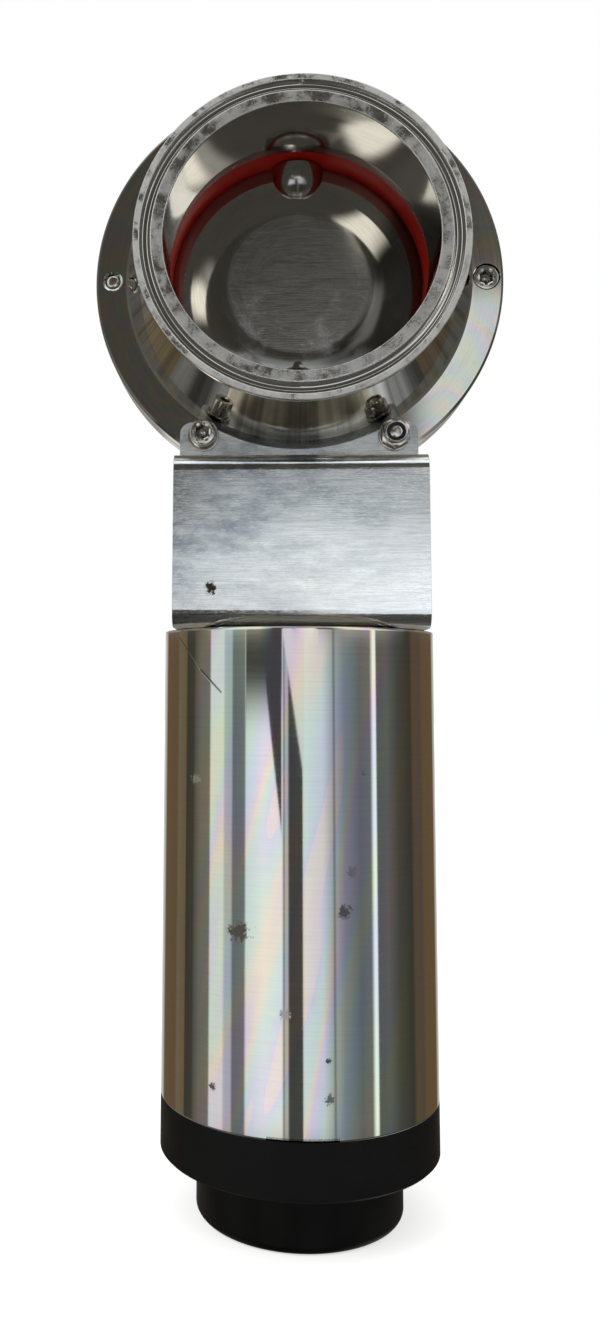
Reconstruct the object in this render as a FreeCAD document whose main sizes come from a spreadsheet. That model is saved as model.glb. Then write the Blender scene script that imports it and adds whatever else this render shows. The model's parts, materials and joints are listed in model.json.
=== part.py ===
import FreeCAD, Part
import math
import os
import Sketcher

# A hygienic butterfly valve with a spring-return air actuator.
# The base of the lower cap stands on z = 0 and the stem axis is the Z axis.
# The pipe runs along Y, and its axis crosses the stem axis at the height AXIS.

SIZES = {
    # heights on the stem axis, from the base up
    "cap_height": 22.0, "ring_height": 19.2, "tube_length": 167.7, "stem_height": 137.0,
    # two-piece valve body with clamp ferrules
    "bore_dia": 97.4, "pipe_wall": 2.1, "ferrule_land": 10.8, "ferrule_rim": 2.85, "ferrule_slope": 20.0,
    "face_to_face": 108.6, "edge_break": 0.3,
    "gasket_inset": 4.35, "gasket_width": 4.1, "gasket_floor": 1.7, "gasket_depth": 1.6,
    "flange_reach": 30.3, "flange_half": 10.0, "flange_chamfer": 1.0, "seam_chamfer": 0.4,
    "flange_land": 11.9, "cone_length": 28.0,
    # seal ring between the halves
    "seal_depth": 8.3, "seal_width": 26.0, "seal_lip": 1.5, "seal_lead": 9.0,
    # disc and its stems
    "disc_reach": 0.35, "disc_core": 12.4, "disc_edge": 5.2, "disc_slope": 21.05, "disc_brow": 5.05,
    "brow_fall": 1.4, "disc_rim": 2.25, "rim_fall": 2.05, "rim_round": 4.1,
    "stem_dia": 12.0, "hub_wall": 4.7, "hub_inset": 6.05,
    "stem_square": 9.0, "stem_square_length": 14.0,
    "seat_gap": 0.3, "bush_wall": 2.0, "stem_bush_length": 12.0, "stem_reach": 104.0,
    # screws that hold the body together
    "bolt_inset": 6.6, "bolt_dia": 6.0, "head_dia": 10.0, "head_height": 6.0, "head_key": 5.0,
    "washer_dia": 12.0, "washer_thick": 1.6, "nut_flats": 10.0, "nut_height": 5.4,
    "nut_collar": 1.8, "collar_dia": 8.6, "insert_dia": 7.0, "insert_height": 1.5,
    # folded bracket
    "sheet": 3.0, "bracket_margin": 8.9, "bracket_depth": 85.0, "bend_radius": 6.0,
    "shelf_fall": 12.4, "tab_rise": 5.4, "tab_corner": 4.5, "tab_gap": 0.7,
    "bracket_hole": 26.0, "bracket_screw_spacing": 42.4, "bracket_screw_length": 14.0,
    # coupling between stem and drive shaft
    "coupling_dia": 28.0, "coupling_length": 37.0, "coupling_drop": 88.0, "coupling_chamfer": 1.0,
    "coupling_web": 3.0, "set_screw_dia": 5.0, "set_screw_inset": 8.5,
    # actuator tube and top cover
    "tube_dia": 101.6, "tube_wall": 2.0, "tube_chamfer": 0.5, "notch_width": 24.0, "notch_height": 1.0,
    "cover_thick": 16.0, "spigot_rise": 4.5, "vent_dia": 5.0, "vent_inset": 4.4,
    # shaft, cam sleeve and guide sleeve
    "shaft_dia": 16.0, "shaft_square": 12.0, "bush_lip": 3.0, "thrust_thick": 2.0,
    "cam_bore": 22.0, "cam_wall": 4.0, "shaft_plug": 20.0, "rod_flange": 5.0, "rod_plug": 4.5,
    "sleeve_gap": 0.5, "guide_wall": 3.0, "guide_flange": 6.0,
    "guide_screw_inset": 5.5, "guide_screw_dia": 5.0, "guide_head_dia": 8.5, "guide_head": 5.0,
    "guide_screw_length": 14.0,
    "stroke": 30.0, "slot_width": 9.0, "pin_dia": 5.0, "pin_sleeve_dia": 8.4, "pin_height": 111.2,
    "sleeve_foot": 8.0,
    # piston and spring
    "piston_lift": 1.0, "piston_head": 18.0, "piston_gap": 0.3, "piston_floor": 10.0, "skirt_wall": 5.0,
    "skirt_top": 10.0, "skirt_fillet": 3.0,
    "band_width": 4.0, "band_depth": 1.5, "ring_width": 4.5, "ring_depth": 4.0, "ring_land": 3.5,
    "o_ring": 2.6, "wire_dia": 9.0, "wire_ground": 1.5, "coil_inset": 9.8,
    # end cover, lock wire, rod end and lower cap
    "spigot_height": 15.0, "cap_spigot": 8.0, "lock_wire": 2.4, "lock_height": 4.5, "cover_edge": 1.0,
    "cover_bush_length": 28.0, "port_dia": 8.6, "port_depth": 12.0, "port_face_dia": 14.0,
    "port_face_depth": 1.2, "passage_dia": 4.0, "passage_inset": 7.3,
    "cap_dia": 75.0, "cap_wall": 3.8, "cap_floor": 4.0, "cap_round": 3.0, "rod_end": 9.0,
    "rod_square": 10.0, "rod_square_length": 9.0,
    # clearances
    "fit_gap": 0.05, "slide_gap": 0.1, "loose_gap": 0.25, "hole_gap": 0.3,
}

# Sizes that follow from others, so that a change carries through the neighbouring pieces
TIED = {
    "pipe_dia": "bore_dia + 2 * pipe_wall",
    "ferrule_dia": "bore_dia + 2 * ferrule_land",
    "gasket_dia": "ferrule_dia - 2 * gasket_inset",
    "flange_dia": "bore_dia + 2 * flange_reach",
    "cone_dia": "flange_dia - 2 * flange_land",
    "seal_dia": "bore_dia + 2 * seal_depth",
    "seal_lip_dia": "bore_dia + 2 * seal_lip",
    "disc_dia": "bore_dia + 2 * disc_reach",
    "disc_flat_dia": "disc_dia - 2 * disc_slope",
    "disc_brow_dia": "disc_dia - 2 * disc_brow",
    "disc_rim_dia": "disc_dia - 2 * disc_rim",
    "hub_dia": "stem_dia + 2 * hub_wall",
    "stem_bush_dia": "stem_dia + 2 * bush_wall",
    "bolt_circle": "flange_dia - 2 * bolt_inset",
    "bolt_hole": "bolt_dia + 2 * hole_gap",
    "head_pocket_dia": "head_dia + 2 * loose_gap",
    "head_pocket_depth": "head_height + 2 * loose_gap",
    "bracket_width": "bolt_circle * cos(60) + 2 * bracket_margin",
    "tab_drop": "bolt_circle / 2 * sin(60) - tab_rise",
    "shelf_drop": "bolt_circle / 2 * sin(60) + shelf_fall",
    "tab_arc_dia": "cone_dia + 2 * tab_gap",
    "shaft_bush_dia": "shaft_dia + 2 * bush_wall",
    "cam_dia": "cam_bore + 2 * cam_wall",
    "guide_bore": "cam_dia + 2 * sleeve_gap",
    "guide_dia": "guide_bore + 2 * guide_wall",
    "guide_screw_circle": "guide_dia + 2 * guide_screw_inset",
    "guide_flange_dia": "guide_screw_circle + 2 * guide_screw_inset",
    "piston_base": "cap_height + ring_height + spigot_height + piston_lift",
    "piston_well": "guide_dia + 2 * sleeve_gap",
    "skirt_dia": "piston_well + 2 * skirt_wall",
    "vent_radius": "tube_dia / 2 - tube_wall - vent_inset",
    "passage_radius": "tube_dia / 2 - tube_wall - passage_inset",
    "coil_dia": "tube_dia - 2 * tube_wall - 2 * coil_inset",
}

TUBE_BASE = "(size.cap_height + size.ring_height)"
TUBE_TOP = "(size.cap_height + size.ring_height + size.tube_length)"
AXIS = "(size.cap_height + size.ring_height + size.tube_length + size.stem_height)"
COVER_BASE = "(" + TUBE_TOP + " - size.cover_thick)"
TUBE_BORE = "(size.tube_dia - 2 * size.tube_wall)"
SLEEVE_BASE = "(size.pin_height - size.sleeve_foot)"
CAM_TOP = "(" + COVER_BASE + " - size.thrust_thick - size.slide_gap)"
HALF_BOLT = "size.bolt_circle / 2"

doc = FreeCAD.newDocument("butterfly_valve")
size = doc.addObject("Spreadsheet::Sheet", "size")
formulas = {alias: "=" + text for alias, text in TIED.items()}
for row, (alias, amount) in enumerate({**SIZES, **formulas}.items(), 1):
    size.set("A%d" % row, alias)
    size.set("B%d" % row, str(amount))
    size.setAlias("B%d" % row, alias)
doc.recompute()

NODES = []


def number(text):
    """The value of an expression on the sheet."""
    return float(size.evalExpression(text))


def bind(thing, **expressions):
    """Bind properties of an object to expressions on the sheet."""
    for name, text in expressions.items():
        thing.setExpression(name, text)


def place(thing, x="0", y="0", z="0"):
    """Bind the position of an object, axis by axis."""
    for axis, text in (("x", x), ("y", y), ("z", z)):
        if text != "0":
            thing.setExpression("Placement.Base." + axis, text)
    return thing


def node(thing, label):
    """Name an object as one of the finished sub-parts."""
    thing.Label = label
    NODES.append(thing)
    return thing


def origin_feature(body, role):
    """One of a body's own origin planes or axes, by its role."""
    return [feature for feature in body.Origin.OriginFeatures if feature.Role == role][0]


def start_body(label, z="0"):
    """A PartDesign body at a height on the stem axis, listed as a sub-part."""
    body = doc.addObject("PartDesign::Body", label)
    place(body, z=z)
    return node(body, label)


def start_sketch(body, name, role, offset="0"):
    """An empty sketch on one of the body's origin planes, moved along the plane's normal."""
    sketch = body.newObject("Sketcher::SketchObject", name)
    sketch.AttachmentSupport = [(origin_feature(body, role), "")]
    sketch.MapMode = "FlatFace"
    if offset != "0":
        sketch.setExpression("AttachmentOffset.Base.z", offset)
    return sketch


def hold(sketch, edge, end, x, y):
    """Hold one point of a sketch at two expressions, measured from the origin."""
    for kind, text, axis in (("DistanceX", x, -2), ("DistanceY", y, -1)):
        if text == "0":
            sketch.addConstraint(Sketcher.Constraint("PointOnObject", edge, end, axis))
        else:
            rule = sketch.addConstraint(Sketcher.Constraint(kind, -1, 1, edge, end, number(text)))
            sketch.setExpression("Constraints[%d]" % rule, text)


def arc_between(start, end, radius, bulge):
    """An arc of a sketch, bulge +1 to the left of the chord and -1 to its right."""
    chord = end.sub(start)
    inset = math.sqrt(max(radius ** 2 - (chord.Length / 2) ** 2, 0))
    left = FreeCAD.Vector(-chord.y, chord.x, 0).normalize()
    centre = (start + end) * 0.5 - left * (bulge * inset)
    low, high = (start, end) if bulge < 0 else (end, start)
    first = math.atan2(low.y - centre.y, low.x - centre.x)
    last = math.atan2(high.y - centre.y, high.x - centre.x)
    if last <= first:
        last += 2 * math.pi
    return Part.ArcOfCircle(Part.Circle(centre, FreeCAD.Vector(0, 0, 1), radius), first, last)


def outline(body, name, role, points, offset="0"):
    """A closed sketch. A point is (x, y), or (x, y, radius, bulge) where an arc leaves it."""
    sketch = start_sketch(body, name, role, offset)
    corners = [FreeCAD.Vector(number(point[0]), number(point[1]), 0) for point in points]
    count = len(points)
    first = []
    for i, point in enumerate(points):
        end = corners[(i + 1) % count]
        if len(point) == 2:
            sketch.addGeometry(Part.LineSegment(corners[i], end), False)
            first.append(1)
        else:
            sketch.addGeometry(arc_between(corners[i], end, number(point[2]), point[3]), False)
            first.append(1 if point[3] < 0 else 2)
    for i in range(count):
        follower = (i + 1) % count
        joint = Sketcher.Constraint("Coincident", i, 3 - first[i], follower, first[follower])
        sketch.addConstraint(joint)
    for i, point in enumerate(points):
        hold(sketch, i, first[i], point[0], point[1])
    for i, point in enumerate(points):
        if len(point) > 2:
            chord = corners[i].distanceToPoint(corners[(i + 1) % count])
            if abs(chord - 2 * number(point[2])) < 1e-6:
                height = Sketcher.Constraint("DistanceY", -1, 1, i, 3, corners[i].y)
                sketch.setExpression("Constraints[%d]" % sketch.addConstraint(height), point[1])
            else:
                radius = Sketcher.Constraint("Radius", i, number(point[2]))
                sketch.setExpression("Constraints[%d]" % sketch.addConstraint(radius), point[2])
    return sketch


def circles(body, name, role, rings, offset="0"):
    """A sketch of circles, each (x, y, diameter)."""
    sketch = start_sketch(body, name, role, offset)
    for i, (x, y, diameter) in enumerate(rings):
        centre = FreeCAD.Vector(number(x), number(y), 0)
        sketch.addGeometry(Part.Circle(centre, FreeCAD.Vector(0, 0, 1), number(diameter) / 2), False)
        hold(sketch, i, 3, x, y)
        rule = sketch.addConstraint(Sketcher.Constraint("Diameter", i, number(diameter)))
        sketch.setExpression("Constraints[%d]" % rule, diameter)
    return sketch


def square(half, middle_x="0", middle_y="0"):
    """The four corners of a square from half its side, about a middle point."""
    left, right = middle_x + " - " + half, middle_x + " + " + half
    low, high = middle_y + " - " + half, middle_y + " + " + half
    return [(left, low), (right, low), (right, high), (left, high)]


def turned(body, sketch, kind="Revolution"):
    """Turn a sketch a full turn about its own vertical axis, adding or cutting."""
    feature = body.newObject("PartDesign::" + kind, sketch.Name + "_turned")
    feature.Profile = sketch
    feature.ReferenceAxis = (sketch, ["V_Axis"])
    feature.Angle = 360
    return feature


def padded(body, sketch, length, both_ways=False, reverse=False):
    """Pad a sketch by a length."""
    feature = body.newObject("PartDesign::Pad", sketch.Name + "_pad")
    feature.Profile = sketch
    bind(feature, Length=length)
    feature.Midplane = both_ways
    feature.Reversed = reverse
    return feature


def pocketed(body, sketch, depth=None, reverse=False, both_ways=False):
    """Cut a sketch to a depth against its normal, or through everything."""
    feature = body.newObject("PartDesign::Pocket", sketch.Name + "_cut")
    feature.Profile = sketch
    if depth is None:
        feature.Type = "ThroughAll"
    else:
        bind(feature, Length=depth)
    feature.Midplane = both_ways
    feature.Reversed = reverse
    return feature


def rounded(body, base, edges, radius, name):
    """Fillet the edges of the body's last feature whose middles are at the given points."""
    doc.recompute()
    names = []
    for index, edge in enumerate(base.Shape.Edges, 1):
        middle = edge.CenterOfMass
        if any(test(middle) for test in edges):
            names.append("Edge%d" % index)
    feature = body.newObject("PartDesign::Fillet", name)
    feature.Base = (base, names)
    bind(feature, Radius=radius)
    return feature


def ring(label, inner, outer, low, high):
    """A plain turned ring on the stem axis, between two radii and two heights."""
    body = start_body(label)
    sketch = outline(body, label + "_section", "XZ_Plane",
                     [(inner, low), (outer, low), (outer, high), (inner, high)])
    turned(body, sketch)
    return body


def cylinder(name, radius, height, x="0", y="0", z="0", axis=None):
    """A cylinder along Z, or along another axis given as a rotation."""
    thing = doc.addObject("Part::Cylinder", name)
    bind(thing, Radius=radius, Height=height)
    if axis is not None:
        thing.Placement = FreeCAD.Placement(FreeCAD.Vector(), axis)
    return place(thing, x, y, z)


def joined(name, *things):
    """The union of several objects."""
    thing = doc.addObject("Part::MultiFuse", name)
    thing.Shapes = list(things)
    return thing


def cut(name, base, tool):
    """One object less another."""
    thing = doc.addObject("Part::Cut", name)
    thing.Base = base
    thing.Tool = tool
    return thing


def group(label, things):
    """Identical fasteners as one sub-part of separate solids."""
    thing = doc.addObject("Part::Compound", label)
    thing.Links = things
    return node(thing, label)


ALONG_X = FreeCAD.Rotation(FreeCAD.Vector(0, 1, 0), 90)
TO_FRONT = FreeCAD.Rotation(FreeCAD.Vector(1, 0, 0), 90)
TO_REAR = FreeCAD.Rotation(FreeCAD.Vector(1, 0, 0), -90)
UPSIDE_DOWN = FreeCAD.Rotation(FreeCAD.Vector(1, 0, 0), 180)


def cap_screw(name, diameter, length, head_dia, head_height, key):
    """A socket head cap screw: seat at its own z = 0, head above, shank below, flush in its thread."""
    head = cylinder(name + "_head", head_dia + " / 2", head_height)
    shank = cylinder(name + "_shank", diameter + " / 2 - size.fit_gap", length, z="-(" + length + ")")
    socket = doc.addObject("Part::Prism", name + "_socket")
    socket.Polygon = 6
    bind(socket, Circumradius=key + " / 2 / cos(30)", Height=head_height)
    place(socket, z=head_height + " / 2")
    return cut(name, joined(name + "_blank", head, shank), socket)


def bolt_place(angle):
    """The x and z of a screw on the body's bolt circle, z from the pipe axis."""
    return HALF_BOLT + " * cos(%d)" % angle, HALF_BOLT + " * sin(%d)" % angle


# Valve body, two turned halves
FRONT_HEADS = (0, 120)
REAR_HEADS = (60, 180)
BRACKET_BOLTS = (240, 300)
FACE = "size.face_to_face / 2"


def body_half(label, side, heads, threads):
    """One half of the valve body, side -1 in front of the seam and +1 behind it."""
    def out(text):
        return "%d * (%s)" % (side, text)

    body = start_body(label, z=AXIS)
    back = "(size.ferrule_dia - size.pipe_dia) / 2 * tan(size.ferrule_slope)"
    section = [
        ("size.seal_dia / 2", "0"),
        ("size.flange_dia / 2 - size.seam_chamfer", "0"),
        ("size.flange_dia / 2", out("size.seam_chamfer")),
        ("size.flange_dia / 2", out("size.flange_half - size.flange_chamfer")),
        ("size.flange_dia / 2 - size.flange_chamfer", out("size.flange_half")),
        ("size.cone_dia / 2", out("size.flange_half")),
        ("size.pipe_dia / 2", out("size.flange_half + size.cone_length")),
        ("size.pipe_dia / 2", out(FACE + " - size.ferrule_rim - " + back)),
        ("size.ferrule_dia / 2", out(FACE + " - size.ferrule_rim")),
        ("size.ferrule_dia / 2", out(FACE + " - size.edge_break")),
        ("size.ferrule_dia / 2 - size.edge_break", out(FACE)),
        ("size.gasket_dia / 2 + size.gasket_width / 2", out(FACE)),
        ("size.gasket_dia / 2 + size.gasket_floor / 2", out(FACE + " - size.gasket_depth")),
        ("size.gasket_dia / 2 - size.gasket_floor / 2", out(FACE + " - size.gasket_depth")),
        ("size.gasket_dia / 2 - size.gasket_width / 2", out(FACE)),
        ("size.bore_dia / 2 + size.edge_break", out(FACE)),
        ("size.bore_dia / 2", out(FACE + " - size.edge_break")),
        ("size.bore_dia / 2", out("size.seal_width / 2 + size.seal_lead")),
        ("size.seal_lip_dia / 2", out("size.seal_width / 2")),
        ("size.seal_dia / 2", out("size.seal_width / 2"))]
    turned(body, outline(body, label + "_section", "XY_Plane", section))

    bush = "(size.seal_dia / 2 + size.stem_bush_length + size.loose_gap)"
    radius = "size.stem_bush_dia / 2"
    top = [("0", "size.seal_dia / 2 - 1"), (radius, "size.seal_dia / 2 - 1"), (radius, bush), ("0", bush)]
    turned(body, outline(body, label + "_upper_channel", "XZ_Plane", top), "Groove")
    throat = "size.stem_dia / 2 + size.loose_gap"
    bottom = [
        ("0", "-(size.seal_dia / 2 - 1)"), (radius, "-(size.seal_dia / 2 - 1)"), (radius, "-" + bush),
        (throat, "-" + bush), (throat, "-(size.flange_dia / 2 + 1)"), ("0", "-(size.flange_dia / 2 + 1)")]
    turned(body, outline(body, label + "_lower_channel", "XZ_Plane", bottom), "Groove")

    plain = [bolt_place(angle) + ("size.bolt_hole",) for angle in heads + BRACKET_BOLTS]
    tapped = [bolt_place(angle) + ("size.bolt_dia",) for angle in threads]
    pocketed(body, circles(body, label + "_holes", "XZ_Plane", plain + tapped), both_ways=True)
    outer = out("-size.flange_half")
    pockets = [bolt_place(angle) + ("size.head_pocket_dia",) for angle in heads]
    sketch = circles(body, label + "_head_pockets", "XZ_Plane", pockets, outer)
    pocketed(body, sketch, "size.head_pocket_depth", reverse=side > 0)


body_half("front_body_half", -1, FRONT_HEADS, REAR_HEADS)
body_half("rear_body_half", 1, REAR_HEADS, FRONT_HEADS)

# Seal ring, crowned inside, with a hole for each stem
body = start_body("seal_ring", z=AXIS)
crown = "(size.seal_lip_dia / 2 - size.disc_dia / 2 - size.seat_gap)"
crown_radius = "((size.seal_width / 2)^2 + " + crown + "^2) / (2 * " + crown + ")"
turned(body, outline(body, "seal_section", "XY_Plane", [
    ("size.seal_lip_dia / 2", "-size.seal_width / 2"), ("size.seal_dia / 2", "-size.seal_width / 2"),
    ("size.seal_dia / 2", "size.seal_width / 2"),
    ("size.seal_lip_dia / 2", "size.seal_width / 2", crown_radius, -1)]))
stem_hole = circles(body, "seal_stem_hole", "XY_Plane", [("0", "0", "size.stem_dia + 2 * size.loose_gap")])
pocketed(body, stem_hole, both_ways=True)

# Disc in one piece with its two stems, its rim ground to a sphere
blank = doc.addObject("PartDesign::Body", "disc_blank")
place(blank, z=AXIS)
core, land = "size.disc_core / 2", "size.disc_edge / 2"
face_run = "((size.disc_brow_dia - size.disc_flat_dia) / 2)"
face_radius = "(" + face_run + "^2 + size.brow_fall^2) / (2 * size.brow_fall)"
brow = "(size.disc_core / 2 - size.brow_fall)"
shoulder_at = "(size.disc_core / 2 - size.rim_fall)"
rim_at, past_rim = "size.disc_dia / 2", "size.disc_dia / 2 + 1"
turned(blank, outline(blank, "lens_section", "XY_Plane", [
    ("0", "-" + core), ("size.disc_flat_dia / 2", "-" + core, face_radius, -1),
    ("size.disc_brow_dia / 2", "-" + brow),
    ("size.disc_rim_dia / 2", "-" + shoulder_at, "size.rim_round", -1),
    (rim_at, "-" + land), (past_rim, "-" + land), (past_rim, land),
    (rim_at, land, "size.rim_round", -1), ("size.disc_rim_dia / 2", shoulder_at),
    ("size.disc_brow_dia / 2", brow, face_radius, -1), ("size.disc_flat_dia / 2", core), ("0", core)]))
hub_high = "(size.disc_dia / 2 - size.hub_inset)"
hub_low = "(" + hub_high + " - sqrt(size.hub_dia^2 - size.stem_dia^2) / 2)"
turned(blank, outline(blank, "hub_section", "XZ_Plane", [
    ("0", "-(" + past_rim + ")"), ("size.hub_dia / 2", "-(" + past_rim + ")"),
    ("size.hub_dia / 2", "-" + hub_high, "size.hub_dia / 2", -1), ("size.stem_dia / 2", "-" + hub_low),
    ("size.stem_dia / 2", hub_low, "size.hub_dia / 2", -1), ("size.hub_dia / 2", hub_high),
    ("size.hub_dia / 2", past_rim), ("0", past_rim)]))
ball = doc.addObject("Part::Sphere", "disc_sphere")
bind(ball, Radius="size.disc_dia / 2")
place(ball, z=AXIS)
disc_ground = doc.addObject("Part::MultiCommon", "disc_ground")
disc_ground.Shapes = [blank, ball]
stem_top = "(size.seal_dia / 2 + size.stem_bush_length)"
stem_length = stem_top + " + size.stem_reach - size.stem_square_length"
stem = cylinder("stem", "size.stem_dia / 2", stem_length,
                z=AXIS + " - size.stem_reach + size.stem_square_length")
tail = doc.addObject("Part::Box", "stem_tail")
bind(tail, Length="size.stem_square", Width="size.stem_square", Height="size.stem_square_length + 1")
place(tail, "-size.stem_square / 2", "-size.stem_square / 2", AXIS + " - size.stem_reach")
node(joined("disc", disc_ground, stem, tail), "disc")

# Stem bushes in the body
bush_start = "size.seal_dia / 2"
bush_end = "size.seal_dia / 2 + size.stem_bush_length"
bush_inner, bush_outer = "size.stem_dia / 2 + size.fit_gap", "size.stem_bush_dia / 2"
above, below = AXIS + " + (", AXIS + " - ("
ring("stem_bush_upper", bush_inner, bush_outer, above + bush_start + ")", above + bush_end + ")")
ring("stem_bush_lower", bush_inner, bush_outer, below + bush_end + ")", below + bush_start + ")")

# Four cap screws, sunk into one half and threaded through the other, heads alternating
sunk_face = "size.flange_half - size.head_pocket_depth"
sunk_length = "2 * size.flange_half - size.head_pocket_depth"
screws = []
for angle in FRONT_HEADS + REAR_HEADS:
    front = angle in FRONT_HEADS
    screw = cap_screw("flange_screw_%d" % angle, "size.bolt_dia", sunk_length + " - size.loose_gap",
                      "size.head_dia", "size.head_height", "size.head_key")
    screw.Placement = FreeCAD.Placement(FreeCAD.Vector(), TO_FRONT if front else TO_REAR)
    x, z = bolt_place(angle)
    screws.append(place(screw, x, ("-(%s)" if front else "%s") % sunk_face, AXIS + " + " + z))
group("flange_screws", screws)

# Two longer screws through the bracket tabs, with washers and lock nuts that hold a nylon insert
stack = "(size.flange_half + size.sheet + size.washer_thick)"
long_bolts, nuts, inserts, washers = [], [], [], []
for angle in BRACKET_BOLTS:
    front = angle == BRACKET_BOLTS[0]
    turn = TO_FRONT if front else TO_REAR
    side = -1 if front else 1
    x, z = bolt_place(angle)
    height = AXIS + " + " + z
    bolt = cap_screw("bracket_bolt_%d" % angle, "size.bolt_dia",
                     "2 * " + stack + " + size.nut_height - size.loose_gap",
                     "size.head_dia", "size.head_height", "size.head_key")
    bolt.Placement = FreeCAD.Placement(FreeCAD.Vector(), turn)
    long_bolts.append(place(bolt, x, "%d * %s" % (side, stack), height))
    hexagon = doc.addObject("Part::Prism", "nut_hexagon_%d" % angle)
    hexagon.Polygon = 6
    bind(hexagon, Circumradius="size.nut_flats / 2 / cos(30)", Height="size.nut_height - size.nut_collar")
    collar = cylinder("nut_collar_%d" % angle, "size.collar_dia / 2", "size.nut_height")
    thread = cylinder("nut_thread_%d" % angle, "size.bolt_dia / 2", "size.nut_height")
    insert_low = "size.nut_height - size.insert_height"
    recess = cylinder("nut_recess_%d" % angle, "size.insert_dia / 2", "size.insert_height", z=insert_low)
    nut = cut("nut_%d" % angle, joined("nut_blank_%d" % angle, hexagon, collar),
              joined("nut_hollow_%d" % angle, thread, recess))
    plug = cylinder("insert_plug_%d" % angle, "size.insert_dia / 2", "size.insert_height", z=insert_low)
    hole = cylinder("insert_hole_%d" % angle, "size.bolt_dia / 2", "size.insert_height", z=insert_low)
    insert = cut("insert_%d" % angle, plug, hole)
    for thing, pile in ((nut, nuts), (insert, inserts)):
        thing.Placement = FreeCAD.Placement(FreeCAD.Vector(), TO_REAR if front else TO_FRONT)
        pile.append(place(thing, x, "%d * %s" % (-side, stack), height))
    for end, spin in ((-1, TO_FRONT), (1, TO_REAR)):
        name = "washer_%d_%s" % (angle, "rear" if end > 0 else "front")
        disc_plate = cylinder(name + "_plate", "size.washer_dia / 2", "size.washer_thick")
        hole = cylinder(name + "_hole", "size.bolt_hole / 2", "size.washer_thick")
        washer = cut(name, disc_plate, hole)
        washer.Placement = FreeCAD.Placement(FreeCAD.Vector(), spin)
        washers.append(place(washer, x, "%d * (size.flange_half + size.sheet)" % end, height))
group("bracket_bolts", long_bolts)
group("bracket_nuts", nuts)
group("nut_inserts", inserts)
group("bracket_washers", washers)

# Bracket, one sheet folded to a U with joggled tabs that clasp the flanges
body = start_body("bracket", z=TUBE_TOP)
depth = "size.bracket_depth / 2"
inside = "(size.bracket_depth / 2 - size.sheet)"
shelf_top = "(size.stem_height - size.shelf_drop)"
shelf_low = "(size.stem_height - size.shelf_drop - size.sheet)"
tab_top = "(size.stem_height - size.tab_drop)"
tab_face, tab_back = "(size.flange_half + size.sheet)", "size.flange_half"
rear_side = [(depth, "0"), (depth, shelf_top), (tab_face, shelf_top), (tab_face, tab_top),
             (tab_back, tab_top), (tab_back, shelf_low), (inside, shelf_low), (inside, "size.sheet")]
front_side = [("-" + y, z) for y, z in reversed(rear_side)]
section = outline(body, "bracket_section", "YZ_Plane", rear_side + front_side)
sheet_pad = padded(body, section, "size.bracket_width", both_ways=True)


def bend_at(y, z):
    """A test for an edge along X at a place of the section, on either side of the seam."""
    far, high = number(y), number(z)

    def test(point):
        return abs(abs(point.y) - far) < 0.01 and abs(point.z - high) < 0.01
    return test


def corner_at(x, z):
    """A test for an edge along Y at a corner of a tab."""
    wide, high = number(x), number(z)

    def test(point):
        return abs(abs(point.x) - wide) < 0.01 and abs(point.z - high) < 0.01
    return test


outer_bends = [bend_at(depth, "0"), bend_at(depth, shelf_top), bend_at(tab_back, shelf_low)]
outer_fillet = rounded(body, sheet_pad, outer_bends, "size.bend_radius", "outer_bends")
inner_bends = [bend_at(inside, "size.sheet"), bend_at(inside, shelf_low), bend_at(tab_face, shelf_top)]
inner_fillet = rounded(body, outer_fillet, inner_bends, "size.bend_radius - size.sheet", "inner_bends")
tab_fillet = rounded(body, inner_fillet, [corner_at("size.bracket_width / 2", tab_top)],
                     "size.tab_corner", "tab_corners")
pocketed(body, circles(body, "tab_arc", "XZ_Plane", [("0", "size.stem_height", "size.tab_arc_dia")]),
         both_ways=True)
tab_holes = [(bolt_place(angle)[0], "size.stem_height + " + bolt_place(angle)[1], "size.bolt_hole")
             for angle in BRACKET_BOLTS]
pocketed(body, circles(body, "tab_holes", "XZ_Plane", tab_holes), both_ways=True)
reach = "size.bracket_screw_spacing / 2"
corners = [("-" + reach, "-" + reach), (reach, "-" + reach), (reach, reach), ("-" + reach, reach)]
floor_holes = [("0", "0", "size.bracket_hole")] + [corner + ("size.bolt_hole",) for corner in corners]
pocketed(body, circles(body, "floor_holes", "XY_Plane", floor_holes), "size.sheet", reverse=True)

# Screws and washers that hold the bracket on the actuator
mount_screws, mount_washers = [], []
for index, (x, y) in enumerate(corners):
    screw = cap_screw("mount_screw_%d" % index, "size.bolt_dia", "size.bracket_screw_length",
                      "size.head_dia", "size.head_height", "size.head_key")
    mount_screws.append(place(screw, x, y, TUBE_TOP + " + size.sheet + size.washer_thick"))
    plate = cylinder("mount_washer_plate_%d" % index, "size.washer_dia / 2", "size.washer_thick")
    hole = cylinder("mount_washer_hole_%d" % index, "size.bolt_hole / 2", "size.washer_thick")
    washer = cut("mount_washer_%d" % index, plate, hole)
    mount_washers.append(place(washer, x, y, TUBE_TOP + " + size.sheet"))
group("mount_screws", mount_screws)
group("mount_washers", mount_washers)

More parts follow.
